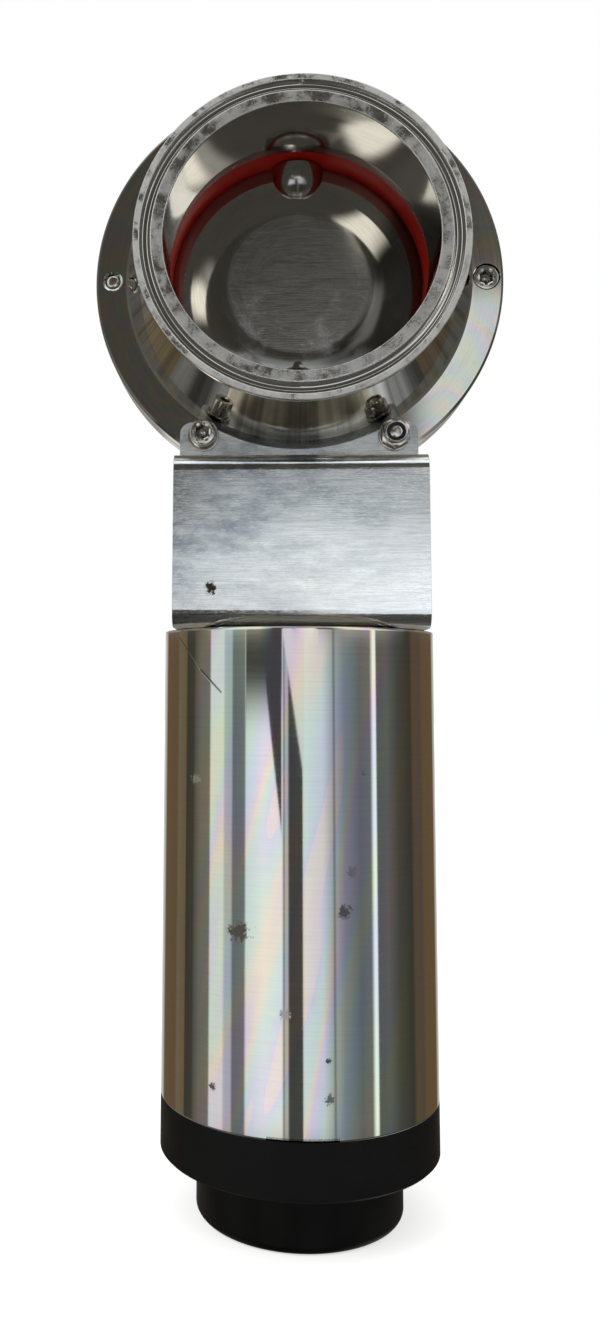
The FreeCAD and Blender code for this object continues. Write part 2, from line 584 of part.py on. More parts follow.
# Coupling with a square socket at each end, and its set screws
body = start_body("coupling", z=AXIS + " - size.coupling_drop")
half, chamfer = "size.coupling_dia / 2", "size.coupling_chamfer"
turned(body, outline(body, "coupling_section", "XZ_Plane", [
    ("0", "-size.coupling_length"), (half + " - " + chamfer, "-size.coupling_length"),
    (half, "-size.coupling_length + " + chamfer), (half, "-" + chamfer), (half + " - " + chamfer, "0"),
    ("0", "0")]))
upper_socket = "(size.stem_reach - size.coupling_drop + size.slide_gap)"
lower_socket = "(size.coupling_length - size.coupling_web - " + upper_socket + ")"
neck = "(size.stem_reach - size.stem_square_length - size.coupling_drop)"
pocketed(body, outline(body, "stem_socket", "XY_Plane", square("(size.stem_square / 2 + size.slide_gap)")),
         upper_socket)
stem_neck = circles(body, "stem_neck", "XY_Plane", [("0", "0", "size.stem_dia + 2 * size.slide_gap")])
pocketed(body, stem_neck, neck)
pocketed(body, outline(body, "shaft_socket", "XY_Plane", square("(size.shaft_square / 2 + size.slide_gap)"),
                       "-size.coupling_length"), lower_socket, reverse=True)
screw_heights = ("-size.set_screw_inset", "-(size.coupling_length - size.set_screw_inset)")
set_holes = [("0", height, "size.set_screw_dia") for height in screw_heights]
pocketed(body, circles(body, "set_screw_holes", "YZ_Plane", set_holes), reverse=True)
set_screws = []
for index, (height, side) in enumerate(zip(screw_heights, ("size.stem_square", "size.shaft_square"))):
    start = "(" + side + " / 2)"
    set_screws.append(cylinder(
        "set_screw_%d" % index, "size.set_screw_dia / 2 - size.fit_gap",
        "size.coupling_dia / 2 - " + chamfer + " - " + start, x=start,
        z=AXIS + " - size.coupling_drop + " + height, axis=ALONG_X))
group("coupling_screws", set_screws)

# Actuator tube, with the lock wire's groove and the key notch at its lower edge
body = start_body("actuator_tube", z=TUBE_BASE)
bore, outside, bevel = TUBE_BORE + " / 2", "size.tube_dia / 2", "size.tube_chamfer"
turned(body, outline(body, "tube_section", "XZ_Plane", [
    (bore, "0"), (outside, "0"), (outside, "size.tube_length - " + bevel),
    (outside + " - " + bevel, "size.tube_length"), (bore, "size.tube_length")]))
lock_groove = [(bore + " - size.fit_gap", "size.lock_height", "size.lock_wire + 2 * size.loose_gap")]
turned(body, circles(body, "tube_lock_groove", "XZ_Plane", lock_groove), "Groove")
half_notch = "size.notch_width / 2"
notch = outline(body, "key_notch", "XZ_Plane", [
    ("-" + half_notch, "-1"), (half_notch, "-1"), (half_notch, "size.notch_height"),
    ("-" + half_notch, "size.notch_height")])
pocketed(body, notch, reverse=True)

# Top cover with the spigot that centres the bracket, tapped for both sets of screws
body = start_body("top_cover", z=TUBE_TOP)
seat, throat = "size.shaft_bush_dia / 2", "size.shaft_dia / 2 + size.loose_gap"
spigot = "size.bracket_hole / 2 - size.loose_gap"
lip_low = "size.spigot_rise - size.bush_lip"
turned(body, outline(body, "cover_section", "XZ_Plane", [
    (seat, "-size.cover_thick"), (bore, "-size.cover_thick"), (bore, "-" + bevel),
    (bore + " - " + bevel, "0"), (spigot, "0"), (spigot, "size.spigot_rise - " + bevel),
    (spigot + " - " + bevel, "size.spigot_rise"), (throat, "size.spigot_rise"), (throat, lip_low),
    (seat, lip_low)]))
bracket_taps = [corner + ("size.bolt_dia",) for corner in corners]
tap_depth = "size.bracket_screw_length - size.sheet - size.washer_thick + size.loose_gap"
pocketed(body, circles(body, "bracket_taps", "XY_Plane", bracket_taps), tap_depth)
pocketed(body, circles(body, "vent_hole", "XY_Plane", [("0", "size.vent_radius", "size.vent_dia")]),
         "size.cover_thick")
guide_reach = "size.guide_screw_circle / 2"
guide_places = [(guide_reach, "0"), ("0", guide_reach), ("-" + guide_reach, "0"), ("0", "-" + guide_reach)]
guide_tap = "size.guide_screw_length - size.guide_flange + size.loose_gap"
taps = [spot + ("size.guide_screw_dia",) for spot in guide_places]
pocketed(body, circles(body, "guide_taps", "XY_Plane", taps, "-size.cover_thick"), guide_tap, reverse=True)
node(cylinder("vent_plug", "size.vent_dia / 2", "size.cover_thick / 2", y="size.vent_radius",
              z=TUBE_TOP + " - size.cover_thick / 2"), "vent_plug")

# Bushes and thrust washer of the shaft
shaft_inner = "size.shaft_dia / 2 + size.fit_gap"
ring("shaft_bush_upper", shaft_inner, seat, COVER_BASE, TUBE_TOP + " + " + lip_low)
cover_bush_base = "(size.cap_height - size.cap_spigot)"
ring("shaft_bush_lower", shaft_inner, seat, cover_bush_base, cover_bush_base + " + size.cover_bush_length")
ring("thrust_washer", "size.shaft_dia / 2 + size.loose_gap", "size.cam_dia / 2",
     COVER_BASE + " - size.thrust_thick", COVER_BASE)

# Guide sleeve, fixed under the cover, with a straight slot on each side
body = start_body("guide_sleeve", z=SLEEVE_BASE)
guide_top = "(" + COVER_BASE + " - " + SLEEVE_BASE + ")"
turned(body, outline(body, "guide_section", "XZ_Plane", [
    ("size.guide_bore / 2", "0"), ("size.guide_dia / 2", "0"),
    ("size.guide_dia / 2", guide_top + " - size.guide_flange"),
    ("size.guide_flange_dia / 2", guide_top + " - size.guide_flange"),
    ("size.guide_flange_dia / 2", guide_top), ("size.guide_bore / 2", guide_top)]))
half_slot = "size.slot_width / 2"
slot_low = "(size.sleeve_foot - size.loose_gap)"
slot_high = "(size.sleeve_foot + size.stroke + size.loose_gap)"
straight_slot = outline(body, "straight_slot", "YZ_Plane", [
    (half_slot, slot_low), (half_slot, slot_high, half_slot, -1),
    ("-" + half_slot, slot_high), ("-" + half_slot, slot_low, half_slot, -1)])
pocketed(body, straight_slot, both_ways=True)
guide_holes = [spot + ("size.guide_screw_dia + 2 * size.loose_gap",) for spot in guide_places]
pocketed(body, circles(body, "guide_holes", "XY_Plane", guide_holes, guide_top), "size.guide_flange")
guide_screws = []
for index, (x, y) in enumerate(guide_places):
    screw = cap_screw("guide_screw_%d" % index, "size.guide_screw_dia", "size.guide_screw_length",
                      "size.guide_head_dia", "size.guide_head", "size.head_key - 1")
    screw.Placement = FreeCAD.Placement(FreeCAD.Vector(), UPSIDE_DOWN)
    guide_screws.append(place(screw, x, y, COVER_BASE + " - size.guide_flange"))
group("guide_screws", guide_screws)

# Drive shaft: square end in the coupling, journal in the cover, plug in the cam sleeve
body = start_body("drive_shaft", z=CAM_TOP)
shaft_end = "(" + AXIS + " - size.coupling_drop - size.coupling_length - " + CAM_TOP + ")"
turned(body, outline(body, "shaft_section", "XZ_Plane", [
    ("0", "-size.shaft_plug"), ("size.cam_bore / 2", "-size.shaft_plug"), ("size.cam_bore / 2", "0"),
    ("size.shaft_dia / 2", "0"), ("size.shaft_dia / 2", shaft_end), ("0", shaft_end)]))
padded(body, outline(body, "shaft_square_end", "XY_Plane", square("(size.shaft_square / 2)"), shaft_end),
       lower_socket + " - size.slide_gap")

# Cam sleeve with two helical slots: a quarter turn over the piston's stroke
sleeve = doc.addObject("PartDesign::Body", "cam_blank")
place(sleeve, z=SLEEVE_BASE)
cam_length = "(" + CAM_TOP + " - " + SLEEVE_BASE + ")"
turned(sleeve, outline(sleeve, "cam_section", "XZ_Plane", [
    ("size.cam_bore / 2", "0"), ("size.cam_dia / 2", "0"), ("size.cam_dia / 2", cam_length),
    ("size.cam_bore / 2", cam_length)]))
cam_mean = "((size.cam_dia + size.cam_bore) / 4)"
cam_tilt = "atan(" + cam_mean + " * pi / 2 / size.stroke)"
slotted = sleeve
for side, name in ((1, "right_slot"), (-1, "left_slot")):
    helix = doc.addObject("Part::Helix", name + "_path")
    bind(helix, Pitch="size.stroke * 4", Height="size.stroke", Radius=cam_mean)
    helix.LocalCoord = "Left-handed"
    helix.Placement = FreeCAD.Placement(
        FreeCAD.Vector(), FreeCAD.Rotation(FreeCAD.Vector(0, 0, 1), 90 - 90 * side))
    place(helix, z="size.pin_height")
    section = doc.addObject("Part::Plane", name + "_section")
    bind(section, Length="size.cam_dia / 2", Width="size.slot_width")
    section.Placement = FreeCAD.Placement(
        FreeCAD.Vector(), FreeCAD.Rotation(FreeCAD.Vector(side, 0, 0), number(cam_tilt)))
    section.setExpression("Placement.Rotation.Angle", cam_tilt)
    place(section, "%d * %s - size.cam_dia / 4" % (side, cam_mean),
          "-size.slot_width / 2 * cos(" + cam_tilt + ")",
          "size.pin_height - %d * size.slot_width / 2 * sin(%s)" % (side, cam_tilt))
    sweep = doc.addObject("Part::Sweep", name + "_sweep")
    sweep.Sections = [section]
    sweep.Spine = (helix, [])
    sweep.Solid = True
    sweep.Frenet = True
    end_radius = "size.slot_width / 2 + size.fit_gap"
    low_end = cylinder(name + "_low_end", end_radius, "size.cam_dia", z="size.pin_height",
                       x="0" if side > 0 else "-size.cam_dia", axis=ALONG_X)
    high_end = cylinder(name + "_high_end", end_radius, "size.cam_dia", z="size.pin_height + size.stroke",
                        axis=TO_FRONT if side > 0 else TO_REAR)
    for tool in (sweep, low_end, high_end):
        slotted = cut(tool.Name + "_cut", slotted, tool)
node(slotted, "cam_sleeve")

# Lower rod, closing the cam sleeve, sealed through piston and end cover, squared for a spanner
body = start_body("lower_rod", z=SLEEVE_BASE)
rod_low = "(size.rod_end - " + SLEEVE_BASE + ")"
shoulder = rod_low + " + size.rod_square_length"
turned(body, outline(body, "rod_section", "XZ_Plane", [
    ("0", shoulder), ("size.shaft_dia / 2", shoulder),
    ("size.shaft_dia / 2", "-size.rod_flange"), ("size.cam_dia / 2", "-size.rod_flange"),
    ("size.cam_dia / 2", "0"), ("size.cam_bore / 2", "0"), ("size.cam_bore / 2", "size.rod_plug"),
    ("0", "size.rod_plug")]))
padded(body, outline(body, "rod_square_end", "XY_Plane", square("(size.rod_square / 2)"), shoulder),
       "size.rod_square_length", reverse=True)

# Cross pin of the piston, and the sleeves pressed on it that run in the slots
pin_reach = "(size.skirt_dia / 2 - size.loose_gap)"
node(cylinder("cross_pin", "size.pin_dia / 2 - size.fit_gap", "2 * " + pin_reach, x="-" + pin_reach,
              z="size.pin_height", axis=ALONG_X), "cross_pin")


def pin_sleeves(label, near, far):
    """Two sleeves on the cross pin, from one radius to another on each side."""
    pair = []
    for side, low in (("right", near), ("left", "-(" + far + ")")):
        body_name = label + "_" + side
        shell = cylinder(body_name + "_shell", "size.pin_sleeve_dia / 2", far + " - " + near, x=low,
                         z="size.pin_height", axis=ALONG_X)
        hole = cylinder(body_name + "_hole", "size.pin_dia / 2", far + " - " + near, x=low,
                        z="size.pin_height", axis=ALONG_X)
        pair.append(cut(body_name, shell, hole))
    group(label, pair)


pin_sleeves("cam_followers", "(size.cam_bore / 2 + size.loose_gap)", "(size.cam_dia / 2 + size.loose_gap)")
pin_sleeves("guide_followers", "size.guide_bore / 2", "size.guide_dia / 2")

# Piston: sealed head with a well for the sleeves, and a skirt that carries the cross pin
body = start_body("piston", z="size.piston_base")
rim = "(" + TUBE_BORE + " / 2 - size.piston_gap)"
rod_bore = "(size.shaft_dia / 2 + size.slide_gap)"
ring_low, ring_high = "size.ring_land", "(size.ring_land + size.ring_width)"
band_high = "(size.piston_head - size.ring_land)"
band_low = "(size.piston_head - size.ring_land - size.band_width)"
gland_low = "((size.piston_floor - size.o_ring) / 2)"
gland_high = "((size.piston_floor + size.o_ring) / 2)"
skirt_high = "(size.pin_height + size.skirt_top - size.piston_base)"
fillet_turn = "size.skirt_fillet"
turned(body, outline(body, "piston_section", "XZ_Plane", [
    (rod_bore, "0"), (rim + " - size.cover_edge", "0"), (rim, "size.cover_edge"), (rim, ring_low),
    (rim + " - size.ring_depth", ring_low), (rim + " - size.ring_depth", ring_high), (rim, ring_high),
    (rim, band_low), (rim + " - size.band_depth", band_low), (rim + " - size.band_depth", band_high),
    (rim, band_high), (rim, "size.piston_head - size.cover_edge"),
    (rim + " - size.cover_edge", "size.piston_head"),
    ("size.skirt_dia / 2 + " + fillet_turn, "size.piston_head", fillet_turn, 1),
    ("size.skirt_dia / 2", "size.piston_head + " + fillet_turn), ("size.skirt_dia / 2", skirt_high),
    ("size.piston_well / 2", skirt_high), ("size.piston_well / 2", "size.piston_floor"),
    (rod_bore, "size.piston_floor"), (rod_bore, gland_high), (rod_bore + " + size.o_ring", gland_high),
    (rod_bore + " + size.o_ring", gland_low), (rod_bore, gland_low)]))
pin_rise = "size.pin_height - size.piston_base"
pin_hole = circles(body, "pin_hole", "YZ_Plane", [("0", pin_rise, "size.pin_dia")])
pocketed(body, pin_hole, both_ways=True)

base = "size.piston_base + "
wiping = TUBE_BORE + " / 2 - size.slide_gap"
ring("piston_seal", rim + " - size.ring_depth", wiping, base + ring_low, base + ring_high)
ring("piston_guide_band", rim + " - size.band_depth", wiping, base + band_low, base + band_high)
ring("piston_rod_seal", shaft_inner, rod_bore + " + size.o_ring", base + gland_low, base + gland_high)

# Return spring, wound in half turns that tilt from side to side, its flat ends ground
spring_base = "(size.piston_base + size.piston_head)"
spring_height = "(" + COVER_BASE + " - " + spring_base + ")"
end_rise = "(size.wire_dia + size.piston_gap)"
wound_height = "(" + spring_height + " - size.wire_dia + 2 * size.wire_ground)"
HALF_TURNS = 13
rise = "((" + wound_height + " - 2 * " + end_rise + ") / %d)" % (HALF_TURNS - 4)
level = spring_base + " + size.wire_dia / 2 - size.wire_ground"
turns = []
for index, step in enumerate(["0", end_rise] + [rise] * (HALF_TURNS - 4) + [end_rise, "0"]):
    turn = doc.addObject("Part::Torus", "spring_turn_%d" % index)
    bind(turn, Radius1="sqrt((size.coil_dia / 2)^2 + (" + step + " / 2)^2)", Radius2="size.wire_dia / 2")
    turn.Angle3 = 180
    tilt = "atan(" + step + " / size.coil_dia)"
    turn.Placement = FreeCAD.Placement(FreeCAD.Vector(), FreeCAD.Rotation(180 * (index % 2), number(tilt), 0))
    turn.setExpression("Placement.Rotation.Pitch", tilt)
    turn.setExpression("Placement.Rotation.Yaw", str(180 * (index % 2)))
    turns.append(place(turn, z=level + " + " + step + " / 2"))
    level += " + " + step
ground = cylinder("spring_ground", TUBE_BORE + " / 2", spring_height, z=spring_base)
spring = doc.addObject("Part::MultiCommon", "return_spring")
spring.Shapes = [joined("spring_wound", *turns), ground]
node(spring, "return_spring")

# End cover: keyed flange, sealed spigot, air port at the back and its passage up
body = start_body("end_cover", z="size.cap_height")
cover_top = "(size.ring_height + size.spigot_height)"
tight = "(" + TUBE_BORE + " / 2 - size.slide_gap)"
collar = "(size.cap_dia / 2 - size.cap_wall - size.slide_gap)"
gland_base = "(" + cover_top + " - 2 * size.o_ring)"
gland_roof = "(" + cover_top + " - size.o_ring)"
bush_roof = "(size.cover_bush_length - size.cap_spigot)"
turned(body, outline(body, "end_section", "XZ_Plane", [
    (seat, "-size.cap_spigot"), (collar, "-size.cap_spigot"), (collar, "0"),
    (outside + " - size.cover_edge", "0"), (outside, "size.cover_edge"), (outside, "size.ring_height"),
    (tight, "size.ring_height"), (tight, gland_base), (tight + " - size.o_ring", gland_base),
    (tight + " - size.o_ring", gland_roof), (tight, gland_roof), (tight, cover_top),
    (throat, cover_top), (throat, gland_roof), (throat + " + size.o_ring", gland_roof),
    (throat + " + size.o_ring", gland_base), (throat, gland_base), (throat, bush_roof), (seat, bush_roof)]))
cover_groove = [(bore + " - size.fit_gap", "size.ring_height + size.lock_height",
                 "size.lock_wire + 2 * size.loose_gap")]
turned(body, circles(body, "cover_lock_groove", "XZ_Plane", cover_groove), "Groove")
key_half = "(size.notch_width / 2 - size.slide_gap)"
inner_arc = "(" + TUBE_BORE + " / 2)"
key = outline(body, "cover_key", "XY_Plane", [
    ("-" + key_half, "-sqrt((size.tube_dia / 2)^2 - " + key_half + "^2)", outside, -1),
    (key_half, "-sqrt((size.tube_dia / 2)^2 - " + key_half + "^2)"),
    (key_half, "-sqrt(" + inner_arc + "^2 - " + key_half + "^2)", inner_arc, 1),
    ("-" + key_half, "-sqrt(" + inner_arc + "^2 - " + key_half + "^2)")], "size.ring_height")
padded(body, key, "size.notch_height - size.fit_gap")
middle = "size.ring_height / 2"
port_face = circles(body, "port_face", "XZ_Plane", [("0", middle, "size.port_face_dia")], "-" + outside)
pocketed(body, port_face, "size.port_face_depth", reverse=True)
port = circles(body, "air_port", "XZ_Plane", [("0", middle, "size.port_dia")], "-" + outside)
pocketed(body, port, "size.port_depth", reverse=True)
passage_spot = ("0", "size.passage_radius", "size.passage_dia")
passage = circles(body, "air_passage", "XY_Plane", [passage_spot], cover_top)
pocketed(body, passage, cover_top + " - " + middle)

foot = "size.cap_height + "
ring("cover_o_ring", tight + " - size.o_ring", TUBE_BORE + " / 2", foot + gland_base, foot + gland_roof)
ring("cover_rod_seal", shaft_inner, throat + " + size.o_ring", foot + gland_base, foot + gland_roof)
wire_ring = doc.addObject("Part::Torus", "lock_wire")
bind(wire_ring, Radius1=bore + " - size.fit_gap", Radius2="size.lock_wire / 2")
place(wire_ring, z=TUBE_BASE + " + size.lock_height")
node(wire_ring, "lock_wire")

# Lower cap over the rod end, the foot that the valve stands on
body = start_body("lower_cap")
wall = "(size.cap_dia / 2 - size.cap_wall)"
turned(body, outline(body, "cap_section", "XZ_Plane", [
    ("0", "0"), ("size.cap_dia / 2 - size.cap_round", "0", "size.cap_round", -1),
    ("size.cap_dia / 2", "size.cap_round"), ("size.cap_dia / 2", "size.cap_height"),
    (wall, "size.cap_height"), (wall, "size.cap_floor"), ("0", "size.cap_floor")]))

doc.recompute()

failed = [thing.Name for thing in doc.Objects
          if "Invalid" in thing.State or "Error" in thing.State]
if failed:
    raise RuntimeError("these objects did not compute: " + ", ".join(failed))
for part in NODES:
    if part.Shape.isNull() or not part.Shape.isValid():
        raise RuntimeError("this sub-part has no valid shape: " + part.Label)

os.makedirs("parts", exist_ok=True)
for part in NODES:
    part.Shape.exportStep(os.path.join("parts", part.Label + ".step"))
    print("%-20s %d solids %10.1f mm3" % (part.Label, len(part.Shape.Solids), part.Shape.Volume))
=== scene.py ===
# %% [markdown]
# A hygienic butterfly valve stands on its air actuator. The polished valve body is at the top, the
# folded bracket carries it, and below are the bright cylinder and two black plastic pieces.
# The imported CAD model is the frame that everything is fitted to, so it is loaded first. Places are
# in metres, in the CAD's own axes: X across the pipe, Y along it, Z up the stem. Most sizes are
# written in millimetres, and MM turns them into metres.

# %% Load the frame
import json
import math

import bmesh
import bpy
import numpy as np
from mathutils import Matrix, Vector


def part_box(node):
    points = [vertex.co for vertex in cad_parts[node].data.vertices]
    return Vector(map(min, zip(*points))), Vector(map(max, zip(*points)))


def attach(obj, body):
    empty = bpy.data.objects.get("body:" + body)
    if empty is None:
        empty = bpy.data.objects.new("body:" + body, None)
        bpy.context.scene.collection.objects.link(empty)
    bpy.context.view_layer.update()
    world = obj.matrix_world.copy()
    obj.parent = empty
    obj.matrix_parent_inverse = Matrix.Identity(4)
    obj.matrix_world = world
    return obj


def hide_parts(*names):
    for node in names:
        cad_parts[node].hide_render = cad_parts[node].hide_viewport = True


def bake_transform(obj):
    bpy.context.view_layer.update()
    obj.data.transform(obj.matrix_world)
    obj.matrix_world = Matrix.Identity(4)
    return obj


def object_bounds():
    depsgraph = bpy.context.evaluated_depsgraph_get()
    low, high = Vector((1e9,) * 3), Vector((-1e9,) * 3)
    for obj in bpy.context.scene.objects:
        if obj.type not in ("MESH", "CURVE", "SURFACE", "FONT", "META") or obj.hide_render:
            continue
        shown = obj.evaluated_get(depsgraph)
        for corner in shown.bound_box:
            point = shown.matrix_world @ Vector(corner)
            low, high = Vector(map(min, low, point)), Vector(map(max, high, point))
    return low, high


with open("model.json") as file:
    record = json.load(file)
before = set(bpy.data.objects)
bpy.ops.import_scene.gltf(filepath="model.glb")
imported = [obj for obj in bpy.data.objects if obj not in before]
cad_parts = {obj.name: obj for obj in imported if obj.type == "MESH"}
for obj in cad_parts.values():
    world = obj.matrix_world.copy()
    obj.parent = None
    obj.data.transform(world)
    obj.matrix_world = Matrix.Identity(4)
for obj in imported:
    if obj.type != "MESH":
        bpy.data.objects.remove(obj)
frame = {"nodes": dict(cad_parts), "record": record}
cad_box = [list(corner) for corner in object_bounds()]
print("CAD box:", cad_box)

# %% [markdown]
# The places that matter are read from the frame, so that the dressed model can't drift away from
# the solids: the height of the pipe's axis and its faces come from the record's mounts, and the
# actuator's levels come from the boxes of its nodes. Typed in as numbers they would stay behind
# when the CAD changes.

# %% Read the places that matter
MM = 0.001
MOUNTS = {mount["name"]: mount for mount in frame["record"]["mounts"]}
AXIS = MOUNTS["front_ferrule_face"]["pos_m"][2]
FACE = MOUNTS["rear_ferrule_face"]["pos_m"][1]
RIM = MOUNTS["front_ferrule_rim"]["dims"]["r_mm"] * MM
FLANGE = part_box("front_body_half")[1].x
TUBE_BASE, TUBE_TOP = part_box("actuator_tube")[0].z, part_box("actuator_tube")[1].z
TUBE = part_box("actuator_tube")[1].x
CAP, CAP_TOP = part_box("lower_cap")[1].x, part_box("lower_cap")[1].z
SHEET_WIDE, SHEET_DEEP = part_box("bracket")[1].x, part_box("bracket")[1].y
TAB_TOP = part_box("bracket")[1].z
print("axis %.4f, face %.4f, flange %.4f, tube %.4f to %.4f" % (AXIS, FACE, FLANGE, TUBE_BASE, TUBE_TOP))

# %% [markdown]
# Nearly every piece here is turned on a lathe, so one helper does most of the work: a profile of
# radius and height is swept round an axis as a grid of points, with numpy and no loop over points.
# Real edges are never razor sharp, and a polished edge shows as a thin bright line, so a second
# helper softens the profile's corners first. The Screw modifier could sweep a profile too, but the
# holes in the flange need to know where each point of the grid lies.

# %% Eased and turned profiles
TURN = 720
HOLD, HOLD_SHARE = 0.4, 0.48


def eased(corners, reach, shares, steps):
    """A line with each corner C eased. With unit vectors a and b towards its two neighbours and
    p, q = shares(u), it becomes the curve C + reach (p a + q b) for u from 0 to 1. A further point
    HOLD beyond each end of the curve keeps the shading of the straight parts flat."""
    corners = np.asarray(corners, float)
    reach = np.broadcast_to(reach, len(corners) - 2)[:, None, None]
    middle = corners[1:-1, None]
    ways = np.stack([corners[:-2, None] - middle, corners[2:, None] - middle])
    lengths = np.linalg.norm(ways, axis=3, keepdims=True)
    ways = ways / lengths
    ends = middle + ways * np.maximum(np.minimum(reach + HOLD, HOLD_SHARE * lengths), reach)
    p, q = shares(np.linspace(0, 1, steps)[None, :, None])
    curve = middle + reach * (p * ways[0] + q * ways[1])
    rounds = np.concatenate([ends[0], curve, ends[1]], 1).reshape(-1, 2)
    return np.concatenate([corners[:1], rounds, corners[-1:]])


def softened(corners, reach, steps=5):
    """A profile given in mm, in metres and with soft corners: p, q = (1 - u)^2, u^2."""
    return eased(corners, reach, lambda u: ((1 - u) ** 2, u ** 2), steps) * MM


def turned(profile, columns=TURN):
    """Profile point (r, h) at angle a lies at (r cos a, r sin a, h), for equally spaced angles."""
    angle = np.arange(columns) * 2 * np.pi / columns
    r, h = profile[:, :1], profile[:, 1:]
    return np.stack(np.broadcast_arrays(r * np.cos(angle), r * np.sin(angle), h), -1)


# %% [markdown]
# A grid of points becomes a mesh once its quads are named, and several grids that share an edge
# become one closed piece when their doubles are merged. Tools that work on a selection could do
# this too, but arrays give the same mesh every time.

# %% From grids to pieces
def cells(rows, columns, round_rows=False, round_columns=True):
    """Quads between neighbours of a grid of points, which may close up along either way."""
    i, j = np.meshgrid(np.arange(rows if round_rows else rows - 1),
                       np.arange(columns if round_columns else columns - 1), indexing="ij")
    down, right = (i + 1) % rows, (j + 1) % columns
    return np.stack([i * columns + j, i * columns + right, down * columns + right, down * columns + j], -1)


def sheet(points, round_rows=False, round_columns=True):
    """A grid of points with its quads, as one entry of a piece."""
    return points.reshape(-1, 3), cells(*points.shape[:2], round_rows, round_columns).reshape(-1, 4)


def placed(sheets, origin=(0, 0, 0), along="+Z"):
    """The sheets with their own z axis laid along a row axis and moved to the origin given."""
    basis = {"+Z": [(1, 0, 0), (0, 1, 0), (0, 0, 1)], "-Z": [(1, 0, 0), (0, -1, 0), (0, 0, -1)],
             "-Y": [(1, 0, 0), (0, 0, 1), (0, -1, 0)], "+Y": [(-1, 0, 0), (0, 0, 1), (0, 1, 0)]}[along]
    return [(points @ np.array(basis, float) + np.array(origin), faces) for points, faces in sheets]


def piece(name, sheets, body, finish, stands_for=(), crease=28):
    """One object from several sheets: doubles merged, faces turned outwards, shaded smooth up to
    the crease angle. It rides on a CAD body unless that is None, and takes over from the CAD nodes
    it stands for."""
    starts = np.cumsum([0] + [len(points) for points, _ in sheets])
    points = np.concatenate([points for points, _ in sheets])
    faces = np.concatenate([faces + start for (_, faces), start in zip(sheets, starts)])
    mesh = bpy.data.meshes.new(name)
    mesh.vertices.add(len(points))
    mesh.vertices.foreach_set("co", points.astype(np.float32).ravel())
    mesh.loops.add(faces.size)
    mesh.loops.foreach_set("vertex_index", faces.astype(np.int32).ravel())
    mesh.polygons.add(len(faces))
    mesh.polygons.foreach_set("loop_start", np.arange(0, faces.size, 4, dtype=np.int32))
    mesh.update()
    work = bmesh.new()
    work.from_mesh(mesh)
    bmesh.ops.remove_doubles(work, verts=work.verts, dist=0.002 * MM)
    loose = [vertex for vertex in work.verts if not vertex.link_faces]
    bmesh.ops.delete(work, geom=loose, context="VERTS")
    bmesh.ops.recalc_face_normals(work, faces=work.faces)
    work.to_mesh(mesh)
    open_edges = sum(len(edge.link_faces) != 2 for edge in work.edges)
    work.free()
    mesh.polygons.foreach_set("use_smooth", np.ones(len(mesh.polygons), bool))
    mesh.set_sharp_from_angle(angle=math.radians(crease))
    mesh.materials.append(finish)
    thing = bpy.data.objects.new(name, mesh)
    bpy.context.scene.collection.objects.link(thing)
    if body:
        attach(thing, body)
    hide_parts(*stands_for)
    print("%-22s %6d faces, %d open edges" % (name, len(mesh.polygons), open_edges))
    return thing


# %% [markdown]
# Screws, nuts and sockets mix round and hexagonal sections. A ring of such a piece is given by its
# radius, its height and its number of sides, and the grid passes smoothly from one to the next.
# A Boolean could cut a hexagon into a cylinder, but it leaves long thin faces that shade badly.

# %% Rings with round and hexagonal sections
def ringed(rings, columns=96):
    """Rings (radius, height, sides). With sides, radius is the distance to a flat, and the point
    at angle a lies at radius / cos(angle from the nearest flat's middle)."""
    angle = np.arange(columns) * 2 * np.pi / columns
    rows = []
    for radius, height, sides in rings:
        reach = np.full(columns, radius * MM)
        if sides:
            part = 2 * np.pi / sides
            reach = reach / np.cos((angle + part / 2) % part - part / 2)
        level = np.full(columns, height * MM)
        rows.append(np.stack([reach * np.cos(angle), reach * np.sin(angle), level], -1))
    return np.stack(rows)


# %% [markdown]
# Finishes come next, because every piece is given one as it is made. Colours are written as sRGB
# hex, as in a paint program, and one function turns them into the linear values that shaders use.
# A second function adds a shader node with its settings and links. A small class lets the sums of
# a shader be written as sums, because each of its signs adds the node that works it out.

# %% Shader nodes written as sums
def linear(hex_colour, alpha=1.0):
    """sRGB hex to linear RGB: c / 12.92 below 0.04045, else ((c + 0.055) / 1.055) ^ 2.4."""
    c = np.array([int(hex_colour[i:i + 2], 16) / 255 for i in (1, 3, 5)])
    c = np.where(c <= 0.04045, c / 12.92, ((c + 0.055) / 1.055) ** 2.4)
    return (*c.tolist(), alpha)


class Signal:
    """An output of a shader node. Signs between signals and numbers add nodes for the sum."""

    def __init__(self, node, output=None):
        """The output of a name, or else the first one that the node's settings leave in use."""
        in_use = [socket for socket in node.outputs if socket.enabled and output in (None, socket.name)]
        self.socket = in_use[0]

    def math(self, operation, *others, clamp=False):
        """The signal and what follows it as inputs of a further sum."""
        return Signal(add("Math", dict(enumerate((self, *others))), operation=operation, use_clamp=clamp))

    def __add__(self, other):
        return self.math("ADD", other)

    def __mul__(self, other):
        return self.math("MULTIPLY", other)

    def __neg__(self):
        return self * -1.0

    def __abs__(self):
        return self.math("ABSOLUTE")


